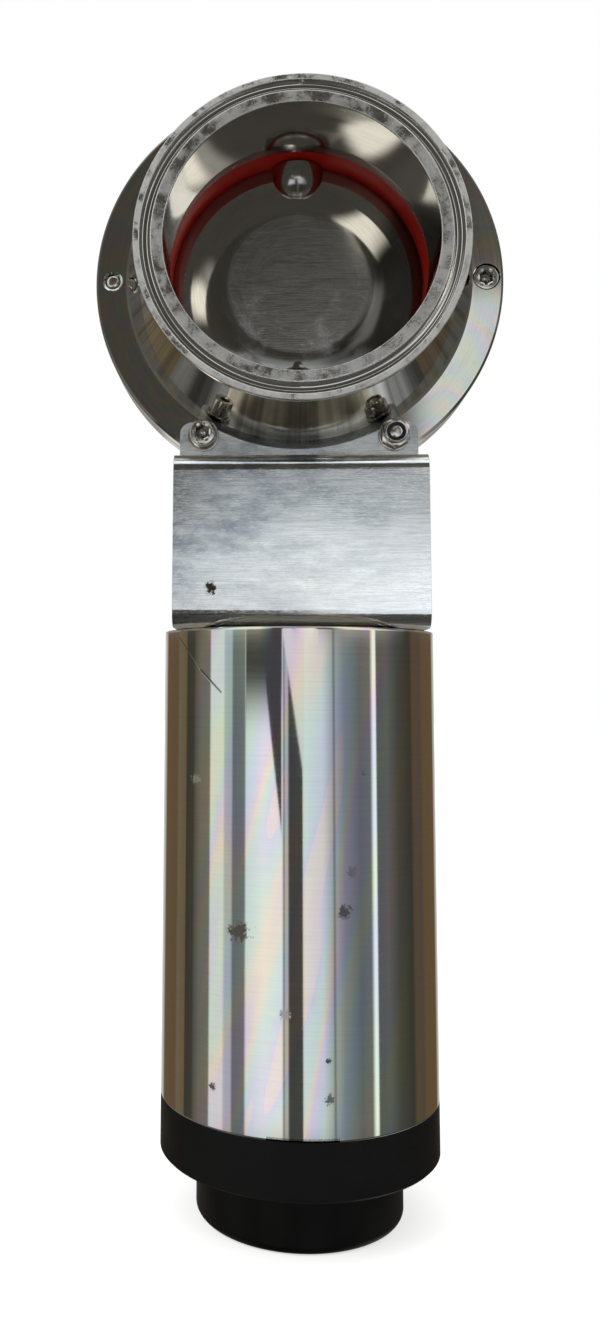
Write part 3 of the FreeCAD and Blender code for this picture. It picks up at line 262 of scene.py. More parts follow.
def add(kind, inputs=None, tree=None, **settings):
    """Adds a node. inputs are its sockets' values, hex colours or signals, by name or number, and
    settings are its attributes. It joins the tree of its signals unless a tree is given."""
    inputs = inputs or {}
    tree = tree or next(value for value in inputs.values() if isinstance(value, Signal)).socket.id_data
    made = tree.nodes.new("ShaderNode" + kind)
    for name, value in settings.items():
        setattr(made, name, value)
    for name, value in inputs.items():
        socket = next(socket for number, socket in enumerate(made.inputs)
                      if name == number or name == socket.name and socket.enabled)
        if isinstance(value, Signal):
            tree.links.new(value.socket, socket)
        else:
            socket.default_value = linear(value) if isinstance(value, str) else value
    return made


def signal(kind, inputs=None, output=None, **settings):
    """The output of a new node."""
    return Signal(add(kind, inputs, **settings), output)


def finish(name, slot):
    """A material without nodes, kept with the record's slot that it belongs to."""
    made = bpy.data.materials.new(name)
    made.use_nodes = True
    made.node_tree.nodes.clear()
    made["slot"] = slot
    return made


# %% [markdown]
# A few more words of the shader kit: colours that pass into each other, soft steps, and noise by
# its real size. All sizes are lengths on the object, so that a pattern stays as large as it is on
# the real piece when the code around it changes.

# %% Colours, steps and noise
def ramp(factor, stops):
    """A colour ramp through stops of (position, hex colour)."""
    made = add("ValToRGB", {"Fac": factor})
    elements = made.color_ramp.elements
    for _ in stops[2:]:
        elements.new(0.5)
    for element, (position, colour) in zip(elements, stops):
        element.position = position
        element.color = linear(colour)
    return Signal(made, "Color")


def step_between(value, low, high, top=1.0, bottom=0.0):
    """A soft step from bottom at low to top at high."""
    return signal("MapRange", {"Value": value, "From Min": low, "From Max": high, "To Min": bottom,
                               "To Max": top}, interpolation_type="SMOOTHSTEP")


def within(value, low, high, soft=1.0):
    """One between low and high, with soft ends."""
    return step_between(value, low - soft, low + soft) * step_between(value, high + soft, high - soft)


def noise(place, size_mm, detail=2.0, rough=0.5):
    """Noise whose pattern repeats about once in size_mm."""
    return signal("TexNoise", {"Vector": place, "Scale": 1 / (size_mm * MM), "Detail": detail,
                               "Roughness": rough})


# %% [markdown]
# Marks are placed as they are seen from the front, whatever the depth of the surface there. The way
# from a mark's middle is therefore taken first, and its depth is dropped.

# %% Places and distances
def seen_way(place, middle):
    """The way from a middle to a place as seen from the front, without its depth."""
    way = signal("VectorMath", {0: place, 1: middle}, operation="SUBTRACT")
    return signal("VectorMath", {0: way, 1: (1, 0, 1)}, operation="MULTIPLY")


# %% [markdown]
# Wear is drawn into the finish and not into the mesh, because a scratch is far finer than the
# grid. A blot is a distance from a point with a ragged limit, and a scratch is a distance from a
# line. Both could be painted on a picture, but a picture blurs when the camera comes close.

# %% Relief, marks and scratches
def relieved(height, strength, deep_mm, normal=None):
    """The normal of a surface with relief of the depth given, on top of an earlier normal."""
    inputs = {"Height": height, "Strength": strength, "Distance": deep_mm * MM}
    if normal:
        inputs["Normal"] = normal
    return signal("Bump", inputs)


def mark(place, x, height, reach, ragged, edge):
    """A blot on the front, x, height and reach in mm: one within reach of its middle, which a
    noise of 0.8 reach moves in and out by up to ragged times the reach."""
    crumbs = noise(place, reach * 0.8, 5.0, 0.75) * (-2 * ragged * reach * MM)
    there = seen_way(place, (x * MM, 0, height * MM))
    far = signal("VectorMath", {0: there}, operation="LENGTH") + crumbs + ragged * reach * MM
    return step_between(far, reach * MM * (1 + edge), reach * MM * (1 - edge))


def scratch(place, start, end, width_mm):
    """A line on the front from start to end, each (x, height) in mm: the distance from the nearest
    point start + t (end - start), with t = clamp(dot(place - start, end - start) / length^2)."""
    way = ((end[0] - start[0]) * MM, 0, (end[1] - start[1]) * MM)
    flat = seen_way(place, (start[0] * MM, 0, start[1] * MM))
    along = signal("VectorMath", {0: flat, 1: way}, operation="DOT_PRODUCT")
    t = along.math("DIVIDE", way[0] ** 2 + way[2] ** 2, clamp=True)
    nearest = signal("VectorMath", {0: way, 3: t}, operation="SCALE")
    away = signal("VectorMath", {0: flat, 1: nearest}, operation="SUBTRACT")
    far = signal("VectorMath", {0: away}, operation="LENGTH")
    return step_between(far, width_mm * MM, width_mm * MM * 0.3)


# %% [markdown]
# Stainless steel, type 304, polished. A polished metal is a mirror with a slight haze. What makes
# it read as steel and not as chrome is the grain of the polishing wheel, which lies round a turned
# piece and lengthwise on a folded sheet, small waves in the surface, and thin scratches.
# The grain is drawn as noise that is stretched along the polishing direction. A picture of brushed
# steel would repeat itself, and an anisotropic shader alone shows no single lines.

# %% Polished steel
STAIN = "#8e8b85"
GRAIN_ROUND, GRAIN_ALONG = 0.0012, 0.03


def steel(name, slot, tone, dark, axis, rough, grain_mm, wave_mm=25.0, wave=0.008, grain_deep=0.10,
          stains=0.2, extras=None):
    """Stainless steel. axis "Y" or "Z" lays the grain round that axis, and "X" straight along X.
    The grain's pattern is GRAIN_ROUND m long in a radian, or stretched to 1 / GRAIN_ALONG.
    extras(place, (x, y, z), colour, haze) adds marks and gives back both with a relief or None."""
    made = finish(name, slot)
    place = signal("TexCoord", output="Object", tree=made.node_tree)
    centre = (0, 0, AXIS if axis == "Y" else 0)
    centred = signal("VectorMath", {0: place, 1: centre}, operation="SUBTRACT")
    parts = add("SeparateXYZ", {"Vector": centred})
    x, y, z = (Signal(parts, name) for name in "XYZ")
    across, along = (z, y) if axis == "Y" else (y, z)
    if axis == "X":
        stretched = signal("CombineXYZ", {"X": x * GRAIN_ALONG, "Y": y, "Z": z})
    else:
        square = signal("CombineXYZ", {"X": x, "Y": across})
        radius = signal("VectorMath", {0: square}, operation="LENGTH")
        turn = across.math("ARCTAN2", x) * GRAIN_ROUND
        stretched = signal("CombineXYZ", {"X": turn, "Y": radius, "Z": along})
    grain = noise(stretched, grain_mm, 3.0, 0.65)
    stained = step_between(noise(place, 20, 6.0, 0.65), 0.56, 0.74, stains)
    tones = ramp(grain, [(0.30, dark), (0.62, tone)])
    colour = signal("Mix", {"Factor": stained, "A": tones, "B": STAIN}, data_type="RGBA")
    haze = stained * 0.2 + step_between(grain, 0.25, 0.75, rough * 1.3, rough * 0.8)
    relief = None
    if extras:
        colour, haze, relief = extras(place, (x, y, z), colour, haze)
    normal = relieved(grain, grain_deep, 0.01)
    if relief:
        normal = relieved(relief, 0.8, 0.05, normal)
    normal = relieved(noise(place, wave_mm, 1.0), 1.0, wave, normal)
    shader = signal("BsdfPrincipled", {"Base Color": colour, "Metallic": 1.0, "Roughness": haze,
                                       "Normal": normal})
    add("OutputMaterial", {"Surface": shader})
    return made


# %% [markdown]
# The cylinder is the showpiece. Fine polishing leaves a grating of lines that splits the light, so
# pale rainbow streaks lean across its front. Years of handling add a long scratch near the top, a
# brown blot, a few dark specks and some scuffs. An interference layer in the shader would colour the
# whole tube by the angle of view. Here the rainbow streaks are a painted sheen instead, drawn as
# pastels in the base colour across the front.

# %% The finish of the cylinder
# pastel tints of the painted rainbow sheen
SHEEN_PASTELS = [(0.0, "#fbe9f0"), (0.16, "#fdf3dd"), (0.3, "#e6f7e4"), (0.44, "#e0ebfb"), (0.58, "#f5e2f7"),
           (0.72, "#fcefdc"), (0.86, "#e2f4ec"), (1.0, "#e6e6fa")]
SPECK, GREY_SPECK, SCORE = "#2c2b2a", "#3c3b39", "#4a463f"
LEAN, DRAWN_OUT, SHEEN_CYCLES = 0.22, 0.12, 3.2

# x, height above the tube's edge, reach, colour and strength of each blot
BLOTS = [(-21.1, 65.5, 3.0, "#5c4f3e", 0.9), (14.3, 72.8, 1.9, SPECK, 0.75),
         (-29.9, 13.6, 1.0, SPECK, 0.7), (8.4, 25.6, 0.9, SPECK, 0.8),
         (16.9, 85.7, 1.6, GREY_SPECK, 0.55), (8.8, 13.5, 1.3, GREY_SPECK, 0.55),
         (20.8, 118.1, 0.9, "#333231", 0.7), (-36.6, 114.7, 1.5, "#d8d6cf", 0.25),
         (-5.8, 39.9, 1.4, "#e8e6df", 0.3)]

# the two parts of the scratch, from start to end, with their widths
SCORED = [((-43.6, 164.8), (-35.1, 152.7), 0.16), ((-35.1, 152.7), (-27.9, 145.1), 0.45)]


def painted_rainbow_sheen(colour, share, cycle):
    """Painted sheen: colour tinted with pastels by a share; the cycle runs through them once a unit."""
    tint = ramp(cycle.math("FRACT"), SHEEN_PASTELS)
    tinted = signal("Mix", {"Factor": 1.0, "A": colour, "B": tint}, data_type="RGBA", blend_type="MULTIPLY")
    return signal("Mix", {"Factor": share, "A": colour, "B": tinted}, data_type="RGBA")


def tube_wear_and_sheen(place, parts, colour, haze):
    """A painted rainbow sheen in the turned coordinate (arc length - LEAN * height), and the marks."""
    x, y, z = parts
    turn = x.math("ARCTAN2", -y)
    leaning = signal("CombineXYZ", {"X": z * -LEAN + turn * TUBE, "Y": z * DRAWN_OUT})
    streaks = noise(leaning, 26, 2.0, 0.5)
    # painted sheen: rainbow streaks tinted into the base colour across the front
    colour = painted_rainbow_sheen(colour, step_between(abs(turn), 1.25, 0.5, 0.9), streaks * SHEEN_CYCLES)
    low = TUBE_BASE / MM
    front_half = step_between(y, 0.001, -0.001)
    for across, height, reach, shade, strong in BLOTS:
        spot = mark(place, across, low + height, reach, 2.2, 0.3) * front_half
        colour = signal("Mix", {"Factor": spot * strong, "A": colour, "B": shade}, data_type="RGBA")
        haze = spot * 0.35 + haze
    deep = None
    for start, end, wide in SCORED:
        line = scratch(place, (start[0], low + start[1]), (end[0], low + end[1]), wide) * front_half
        colour = signal("Mix", {"Factor": line * 0.7, "A": colour, "B": SCORE}, data_type="RGBA")
        deep = deep.math("MAXIMUM", line) if deep else line
    return colour, haze, -deep


# %% [markdown]
# The disc is brushed straight across its flat middle, and its slopes are buffed to a mirror. Pale
# smudges lie on its lower half, and painted shade darkens the lower right of the slope. All of this
# is drawn by the distance from the disc's middle, in the piece's own coordinates, so that it turns
# with the disc.

# %% The finish of the disc
def brushed_middle(place, parts, colour, haze):
    """Straight brushing within 29 mm of the middle, smudges below it, painted shade on the slope's
    lower right, and a rougher hub."""
    x, _, z = parts
    far = signal("VectorMath", {0: seen_way(place, (0, 0, AXIS))}, operation="LENGTH")
    inner = step_between(far, 29.5 * MM, 26.5 * MM)
    brushed = signal("Mapping", {"Vector": place, "Scale": (0.02, 1, 1), "Rotation": (0, 0.05, 0)})
    hair = noise(brushed, 0.25, 3.0, 0.7)
    hairs = inner * step_between(hair, 0.42, 0.66, 0.5)
    colour = signal("Mix", {"Factor": hairs, "A": colour, "B": "#77736d"}, data_type="RGBA")
    smudge = step_between(noise(place, 16, 5.0, 0.6), 0.48, 0.7, 0.45) * step_between(z, 8 * MM, -22 * MM)
    colour = signal("Mix", {"Factor": smudge, "A": colour, "B": "#dfe4ea"}, data_type="RGBA")
    # painted shade: the lower right of the slope darkened
    bore_shade = step_between(far, 27 * MM, 32 * MM) * step_between(z * -0.45 + x, 18 * MM, 30 * MM, 0.8)
    colour = signal("Mix", {"Factor": bore_shade, "A": colour, "B": "#3f3e3b"}, data_type="RGBA")
    hub = step_between(abs(x), 9.5 * MM, 8 * MM) * step_between(abs(z), 32 * MM, 35 * MM, 0.1)
    return colour, inner * 0.14 + haze + smudge * 0.25 + hub, hair * inner


# %% [markdown]
# The valve body is turned and buffed, but the ferrule's lands are grey and scuffed where clamps
# have sat on them. Buffing streaks run down the cone, and a painted rainbow sheen lies on the
# flange. The depth along the pipe and the distance from its axis say which of these places a point
# is in.

# %% The finish of the valve body
def ferrule_scuffs_and_sheen(place, parts, colour, haze):
    """Grey, rougher lands on the ferrule's face with short radial tool marks, buffed streaks down
    the cone, a duller throat beside the seal, and a painted rainbow sheen on the flange."""
    x, y, z = parts
    square = signal("CombineXYZ", {"X": x, "Y": z})
    radius = signal("VectorMath", {0: square}, operation="LENGTH")
    deep = abs(y)
    turn = z.math("ARCTAN2", x)
    front = step_between(deep, FACE - 0.35 * MM, FACE - 0.1 * MM)
    patchy = step_between(noise(place, 7, 6.0, 0.7), 0.34, 0.60, 1.0, 0.15)
    spokes = signal("CombineXYZ", {"X": turn, "Y": radius * 20.0})
    ticks = signal("TexNoise", {"Vector": spokes, "Scale": 55, "Detail": 4.0, "Roughness": 0.7})
    scored = front * step_between(ticks, 0.45, 0.68) * 0.35
    colour = signal("Mix", {"Factor": scored, "A": colour, "B": "#6e6c68"}, data_type="RGBA")
    land = step_between(radius, 57.0 * MM, 57.4 * MM, 1.0, 0.55) * front * patchy
    colour = signal("Mix", {"Factor": land * 0.8, "A": colour, "B": "#f2f2f0"}, data_type="RGBA")
    cone = within(deep, 12 * MM, 47 * MM, MM) * step_between(radius, 50.2 * MM, 50.7 * MM)
    bearing = signal("CombineXYZ", {"X": turn})
    buffed = signal("TexNoise", {"Vector": bearing, "Scale": 9, "Detail": 6.0, "Roughness": 0.7})
    buffed = cone * step_between(buffed, 0.42, 0.62, 0.6)
    colour = signal("Mix", {"Factor": buffed, "A": colour, "B": "#6f6c66"}, data_type="RGBA")
    throat = step_between(deep, 24 * MM, 19 * MM, 0.2) * step_between(radius, 52.5 * MM, 51.5 * MM)
    # painted sheen: rainbows tinted into the flange's base colour
    flange = step_between(radius, 66 * MM, 69 * MM, 0.7) * step_between(deep, 12 * MM, 10.5 * MM)
    colour = painted_rainbow_sheen(colour, flange, noise(place, 24, 1.0, 0.5) * 3.0)
    return colour, land * 0.7 + haze + throat, patchy * front


# %% [markdown]
# Sockets and corners of screws get painted shade: the Ambient Occlusion node finds such nooks
# without any drawing, and they are darkened. The bracket is a brushed sheet. It is cloudy, with
# fine scratches along the fold and a brown stain near its lower left corner. Its lower right is
# painted brighter, and bands of painted reflection cross its shelves.

# %% The finish of screws and bracket
def painted_nook_shade(place, parts, colour, haze):
    """Painted shade in sockets and corners: dark where less than about half of the view is open."""
    nook = signal("AmbientOcclusion", {"Distance": 3.5 * MM}, "AO", tree=place.socket.id_data, samples=8)
    # painted shade: darkened where the AO node finds a nook
    nook_shade = step_between(nook, 0.75, 0.3)
    return signal("Mix", {"Factor": nook_shade, "A": colour, "B": "#24231f"}, data_type="RGBA"), haze, None


def sheet_wear_and_painted_light(place, parts, colour, haze):
    """Cloudy patches with a lower right painted brighter, fine scratches along the fold, satin
    shelves with bands of painted reflection, and a brown stain."""
    x, y, z = parts
    rolled = signal("Mapping", {"Vector": place, "Scale": (0.45, 1, 1)})
    cloud = step_between(noise(rolled, 12, 6.0, 0.7), 0.36, 0.68)
    # painted light: the cloud thins towards the lower right, so that corner reads brighter
    lit_low_right = step_between(z * -0.9 + x, -0.9 * (TUBE_TOP + 0.05) - 0.03, -0.9 * TUBE_TOP + 0.035)
    cloud_with_painted_light = cloud * (lit_low_right * -0.85 + 0.95)
    colour = signal("Mix", {"Factor": cloud_with_painted_light, "A": colour, "B": "#8e9aa8"}, data_type="RGBA")
    brushed = signal("Mapping", {"Vector": place, "Scale": (0.2, 1, 1), "Rotation": (0, 0.06, 0)})
    hair = step_between(noise(brushed, 0.3, 4.0, 0.75), 0.50, 0.68)
    colour = signal("Mix", {"Factor": hair * 0.55, "A": colour, "B": "#ffffff"}, data_type="RGBA")
    satin = step_between(y, -36 * MM, -24 * MM, 0.26)
    # painted reflection: pale and brown bands across the shelves
    wander = noise(signal("CombineXYZ", {"X": x}), 15, 2.0, 0.6)
    painted_reflection_bands = ramp(wander, [(0.42, "#a3967c"), (0.58, "#fff6e4")])
    shelf_reflection = within(y, -35 * MM, -15 * MM, MM) * 0.7
    colour = signal("Mix", {"Factor": shelf_reflection, "A": colour, "B": painted_reflection_bands}, data_type="RGBA")
    stain = mark(place, -31.4, AXIS / MM - 123.4, 1.8, 2.6, 0.25) * step_between(y, -0.035, -0.04)
    colour = signal("Mix", {"Factor": stain, "A": colour, "B": "#4b4238"}, data_type="RGBA")
    return colour, haze + satin + hair * 0.06 + stain * 0.4, hair * 0.08


# %% [markdown]
# One function makes all the steels, and each takes the tones, the haze, the grain and the marks of
# its own piece. Real polishing lines lie a few hundredths of a millimetre apart, which is too fine
# to show at this size, so they are drawn 0.3 to 0.6 mm apart.

# %% The steels
# Turned and buffed bar: a mirror with faint rings round the pipe.
BODY_STEEL = steel("polished 304, turned", "polished_stainless", "#d9dada", "#cdcecf", "Y", 0.055, 0.35,
                   grain_deep=0.02, extras=ferrule_scuffs_and_sheen)
# Drawn and polished tube: the clearest mirror of all.
TUBE_STEEL = steel("polished 304 tube", "polished_stainless", "#e0e1e1", "#dbdcdc", "Z", 0.045, 0.6,
                   wave=0.004, grain_deep=0.012, stains=0.06, extras=tube_wear_and_sheen)
# Ground and buffed disc: a mirror whose tone is painted darker, as shade from the inside of the bore.
DISC_STEEL = steel("polished 304 disc", "polished_stainless", "#a9a9a7", "#9f9e9b", "Y", 0.07, 0.5,
                   grain_deep=0.05, extras=brushed_middle)
# Rolled and brushed sheet: pale, cool and soft, with lines along the fold.
SHEET_STEEL = steel("brushed 304 sheet", "bracket_sheet", "#f4f8fa", "#cdd4d9", "X", 0.10, 0.35,
                    wave_mm=14.0, wave=0.03, grain_deep=0.08, stains=0.1, extras=sheet_wear_and_painted_light)
# Turned bar that was left as it came from the lathe: a satin grey with rings.
PLAIN_STEEL = steel("turned 304 bar", "turned_steel", "#c4c2bd", "#a3a09a", "Z", 0.2, 0.3, grain_deep=0.3)
# Pressed and tumbled screws: a dull shine, with painted shade in the sockets.
SCREW_STEEL = steel("A2 screws", "stainless_fasteners", "#d4d3cf", "#bebbb6", "Y", 0.16, 0.4,
                    grain_deep=0.2, extras=painted_nook_shade)
print("steel finishes:", [made.name for made in bpy.data.materials])

# %% [markdown]
# The seal is silicone rubber, moulded, with a soft sheen. The end cover is turned from black
# acetal, which is matt and finely grained. The cap below it is moulded nylon, a little glossier.
# One function serves them all, since only colour, gloss and grain differ. The metals of the hidden
# pieces come from the steel's function, in other colours.

# %% Rubber, plastics and the other metals
def moulded(name, slot, colour, light, rough, grain_mm, relief_mm, patch=0.25, shine=0.5):
    """A moulded or turned polymer: a dielectric with a fine grain and faint lighter patches."""
    made = finish(name, slot)
    place = signal("TexCoord", output="Object", tree=made.node_tree)
    broad = noise(place, 18, 6.0)
    patches = step_between(broad, 0.45, 0.75, patch)
    shader = signal("BsdfPrincipled", {
        "Base Color": signal("Mix", {"Factor": patches, "A": colour, "B": light}, data_type="RGBA"),
        "Roughness": step_between(broad, 0.3, 0.7, rough * 1.2, rough * 0.85),
        "Normal": relieved(noise(place, grain_mm, 4.0), 0.5, relief_mm), "Specular IOR Level": shine})
    add("OutputMaterial", {"Surface": shader})
    return made


# Moulded silicone rubber: deep red with a soft sheen.
SILICONE = moulded("red silicone", "red_silicone", "#9c150c", "#b83a2a", 0.42, 0.8, 0.02)
# Moulded nitrile rubber: a dull black.
NITRILE = moulded("black nitrile", "black_nitrile", "#151515", "#2a2a2a", 0.6, 0.5, 0.02)
# Turned acetal: black and matt, with a fine grain.
ACETAL = moulded("black acetal, turned", "black_acetal", "#0b0b0c", "#17181a", 0.5, 0.4, 0.015, shine=0.16)
# Moulded nylon: black, and a little glossier.
NYLON = moulded("black nylon, moulded", "black_nylon", "#070707", "#101112", 0.36, 1.2, 0.03, shine=0.16)
# The nylon of a lock nut: dark blue and waxy.
BLUE_NYLON = moulded("blue nylon", "blue_nylon", "#10182c", "#1c2740", 0.4, 0.6, 0.01, shine=0.3)
# Turned white acetal: milky and smooth.
WHITE_ACETAL = moulded("white acetal", "white_plastic", "#dcdad2", "#c9c6bc", 0.4, 0.5, 0.01)
# Turned aluminium casting: a pale grey satin.
ALUMINIUM = steel("turned aluminium casting", "cast_aluminium", "#c9cbcc", "#a9abad", "Z", 0.3, 0.3)
# Turned tin bronze: a warm shine.
BRONZE = steel("tin bronze", "bronze", "#b08a4c", "#8f6c38", "Z", 0.28, 0.3)
# Bronze pressed from powder and sintered: dull and grainy.
SINTERED = steel("sintered bronze", "sintered_bronze", "#9c7a46", "#6f5530", "Z", 0.5, 0.4)
# Drawn and tempered spring wire: grey and half dull.
WIRE = steel("spring steel wire", "spring_steel", "#7c7c7c", "#4f4f50", "Z", 0.35, 0.5)
print("all finishes:", len(bpy.data.materials))

# %% [markdown]
# The valve body is two equal turned halves. A half's profile runs from the flange's face over the
# rim, inside to the seal's pocket, along the bore, over the ferrule's face with its gasket groove,
# round the rim and down the cone. It could be joined from cylinders and cones, but one profile
# keeps the polished faces even. The rear half is the front one turned half a turn about the stem.

# %% The profile of a body half
FACE_MM, RIM_MM, FLANGE_MM, FLANGE_HALF = FACE / MM, RIM / MM, FLANGE / MM, 10.0
SEAL_HALF, SEAL_OUTER, SEAL_LIP, SEAL_CROWN = 13.0, 57.0, 50.2, 49.35
BORE, THROAT_END, NECK, NECK_START, NECK_END, CONE_FOOT = 48.7, 22.0, 50.8, 38.0, 48.28, 67.1
GROOVE, GROOVE_DEEP, RIM_WIDE = (53.1, 54.3, 56.0, 57.2), 1.6, 2.85
half_corners = [
    (FLANGE_MM - 1, FLANGE_HALF), (FLANGE_MM, FLANGE_HALF - 1), (FLANGE_MM, 0.4), (FLANGE_MM - 0.4, 0),
    (SEAL_OUTER, 0), (SEAL_OUTER, SEAL_HALF), (SEAL_LIP, SEAL_HALF), (BORE, THROAT_END),
    (BORE, FACE_MM - 0.3), (BORE + 0.3, FACE_MM), (GROOVE[0], FACE_MM),
    (GROOVE[1], FACE_MM - GROOVE_DEEP), (GROOVE[2], FACE_MM - GROOVE_DEEP), (GROOVE[3], FACE_MM),
    (RIM_MM - 0.3, FACE_MM), (RIM_MM, FACE_MM - 0.3), (RIM_MM, FACE_MM - RIM_WIDE), (NECK, NECK_END),
    (NECK, NECK_START), (CONE_FOOT, FLANGE_HALF)]
ease = [0.3, 0.2, 0.2, 0.1, 0.1, 0.1, 0.4, 0.1, 0.15, 0.3, 0.35, 0.35, 0.35, 0.15, 0.15, 0.5, 1.2, 1.5]
half_profile = softened(half_corners, ease)
print("profile points:", len(half_profile))

# %% [markdown]
# The flange's face carries screws in sunk holes. The face is a flat polar grid. Round each hole
# the grid's cells give way to rings that pass from the edge of a small patch to the hole's circle
# and then down its wall, so that hole and face are one closed surface. A Boolean cuts holes too,
# but its long triangles look like dents in a mirror.

# %% Holes in a grid
def well(edge, centre, across, up, out, rings, passes=3, bend=None):
    """Rings from a closed line of edge points to circles about the centre. Ring (r, d) lies at
    centre + r (across cos t + up sin t) - d out, with t the edge point's own direction.
    bend moves the first circle on to a curved surface."""
    offset = edge - centre
    t = np.arctan2(offset @ up, offset @ across)
    circles = [centre + r * MM * (np.outer(np.cos(t), across) + np.outer(np.sin(t), up)) - d * MM * out
               for r, d in rings]
    if bend:
        circles[0] = bend(circles[0])
    share = np.linspace(0, 1, passes + 1)[:-1, None, None]
    approach = edge + share * (circles[0] - edge)
    return sheet(np.concatenate([approach, np.stack(circles)]))


def outline_of(rows, low, high, left, right, columns):
    """Indices round a block of a grid that is stored row after row, in order."""
    wide, tall = np.arange(left, right + 1), np.arange(low, high + 1)
    over, up = len(wide), len(tall)
    i = np.concatenate([np.full(over, low), tall[1:], np.full(over - 1, high), tall[1:-1][::-1]])
    j = np.concatenate([wide, np.full(up - 1, right), wide[:-1][::-1], np.full(up - 2, left)])
    return i * columns + j % columns


def pierced(points, holes):
    """A grid with blocks of cells left out, each filled by a well. holes are (low row, high row,
    left column, right column, and the well's own arguments after its edge)."""
    rows, columns = points.shape[:2]
    flat = points.reshape(-1, 3)
    quads = cells(rows, columns)
    keep = np.ones(quads.shape[:2], bool)
    wells = []
    for low, high, left, right, arguments in holes:
        keep[low:high, np.arange(left, right) % columns] = False
        wells.append(well(flat[outline_of(rows, low, high, left, right, columns)], *arguments))
    return [(flat, quads[keep])] + wells


# %% [markdown]
# The screws stand on a circle about the pipe's axis. In the front half two of them show their heads
# in deep pockets and two only their thread's end, in a small countersunk hole. The rear half is the
# same piece turned about, so its heads and ends have changed places.

# %% The flange face and both halves
BOLT_CIRCLE = 72.4
RING_ROWS, SPREAD = 12, 10
HEAD_HOLE = [(5.3, 0), (5.2, 0.1), (5.2, 6.5), (0, 6.5)]
THREAD_HOLE = [(4.0, 0), (3.95, 0.05), (3.1, 0.5), (3.05, 1.2), (0, 1.2)]


def flange_face(heads, threads):
    """The flat ring between the cone's foot and the flange's chamfer, with its holes."""
    radius = np.linspace(FLANGE_MM - 1, CONE_FOOT, RING_ROWS + 1)
    ring = turned(np.stack([radius, np.full(len(radius), FLANGE_HALF)], 1) * MM)
    holes = []
    for angles, rings in ((heads, HEAD_HOLE), (threads, THREAD_HOLE)):
        for angle in angles:
            column, turn = int(angle * TURN / 360), math.radians(angle)
            spot = (math.cos(turn) * BOLT_CIRCLE, math.sin(turn) * BOLT_CIRCLE, FLANGE_HALF)
            place = (np.array(spot) * MM, *np.eye(3), rings)
            holes.append((0, RING_ROWS, column - SPREAD, column + SPREAD, place))
    return pierced(ring, holes)


HEADS, THREADS = (0, 120), (60, 180)
body_half = [sheet(turned(half_profile))] + flange_face(HEADS, THREADS)
for name, along in (("front_body_half", "-Y"), ("rear_body_half", "+Y")):
    piece("valve_" + name, placed(body_half, (0, 0, AXIS), along), "root", BODY_STEEL, [name])

# %% [markdown]
# The seal is a plain turned ring with a crowned inner face. The crown nearly touches the disc. On
# the real valve the disc squeezes it a little, which is left out here as in the CAD model. Its
# edges are hidden in the steel, so its profile needs no softened corners.

# %% The seal ring
across = np.linspace(-1, 1, 33)
crown = np.stack([SEAL_CROWN + (SEAL_LIP - SEAL_CROWN) * across ** 2, across * SEAL_HALF], 1)
seal_profile = np.concatenate([crown, [(SEAL_OUTER, SEAL_HALF), (SEAL_OUTER, -SEAL_HALF)]]) * MM
piece("seal", placed([sheet(turned(seal_profile), round_rows=True)], (0, 0, AXIS), "-Y"), "root", SILICONE,
      ["seal_ring"])

# %% [markdown]
# The disc is one piece of steel with its stems. Seen from the front it is a flat of 56 mm that
# sinks in a wide arc to a brow, falls on to the rim and rounds off into the edge. The stem comes
# out of that slope and swells into a hub with a ball-shaped nose. Both are heights above the middle
# plane, and a smooth maximum of the two gives the polished fillet between them.

# %% The heights of the disc
DISC, CORE, FLAT = 49.05, 6.2, 28.0
BROW, BROW_FALL, SHOULDER, RIM_FALL = 44.0, 1.4, 46.8, 2.05
RIM_ROUND, ROUND_REACH, ROUND_HEIGHT = 4.1, 45.732, 0.191
STEM, HUB, NOSE, SINK, SINK_SPAN, FILLET = 6.0, 10.7, 43.0, 2.5, 6.0, 0.5


def lens(r):
    """Half the disc's thickness: flat to FLAT, an arc that falls by BROW_FALL to the brow, a
    straight slope to the shoulder, and an arc of radius RIM_ROUND to the edge."""
    wide = ((BROW - FLAT) ** 2 + BROW_FALL ** 2) / (2 * BROW_FALL)
    sinking = CORE - wide + np.sqrt(wide ** 2 - np.clip(r - FLAT, 0, BROW - FLAT) ** 2)
    slope = np.interp(r, [BROW, SHOULDER], [0.0, BROW_FALL - RIM_FALL])
    rounded = ROUND_HEIGHT + np.sqrt(np.clip(RIM_ROUND ** 2 - (r - ROUND_REACH) ** 2, 0.01, None))
    return np.where(r < SHOULDER, sinking + slope, rounded)


def stem_height(x, z):
    """Height of a stem of radius a(z) about the z axis: sqrt(a^2 - x^2). Its radius a follows the
    ball nose, sqrt(HUB^2 - (NOSE - z)^2), up to the hub, and it sinks below the flat towards the
    middle."""
    nose = np.sqrt(np.clip(HUB ** 2 - np.clip(NOSE - np.abs(z), 0, HUB) ** 2, 0, None))
    a = np.maximum(nose, STEM)
    sink = SINK * (1 - np.clip((np.abs(z) - FLAT) / SINK_SPAN, 0, 1)) ** 2
    inside = np.clip(a ** 2 - x ** 2, 0, None)
    return np.where(np.abs(x) < a, np.sqrt(inside), -2.0 * (np.abs(x) - a)) - sink


def disc_height(r, angle):
    """Smooth maximum of lens and stem: max(p, q) + max(k - |p - q|, 0)^2 / 4k, with k = FILLET."""
    p, q = lens(r), stem_height(r * np.cos(angle), r * np.sin(angle))
    return np.maximum(p, q) + np.clip(FILLET - np.abs(p - q), 0, None) ** 2 / (4 * FILLET)


# %% [markdown]
# The disc's grid runs from the middle out to the edge, with columns that lie close together where
# the stems leave it. The two faces are joined by a band on the ball that the edge is turned to.
# The stems are strings of rings that start inside the disc, and the lower one ends in a square for
# the coupling. Joining them with a Boolean would leave a hard line where a polisher leaves none.

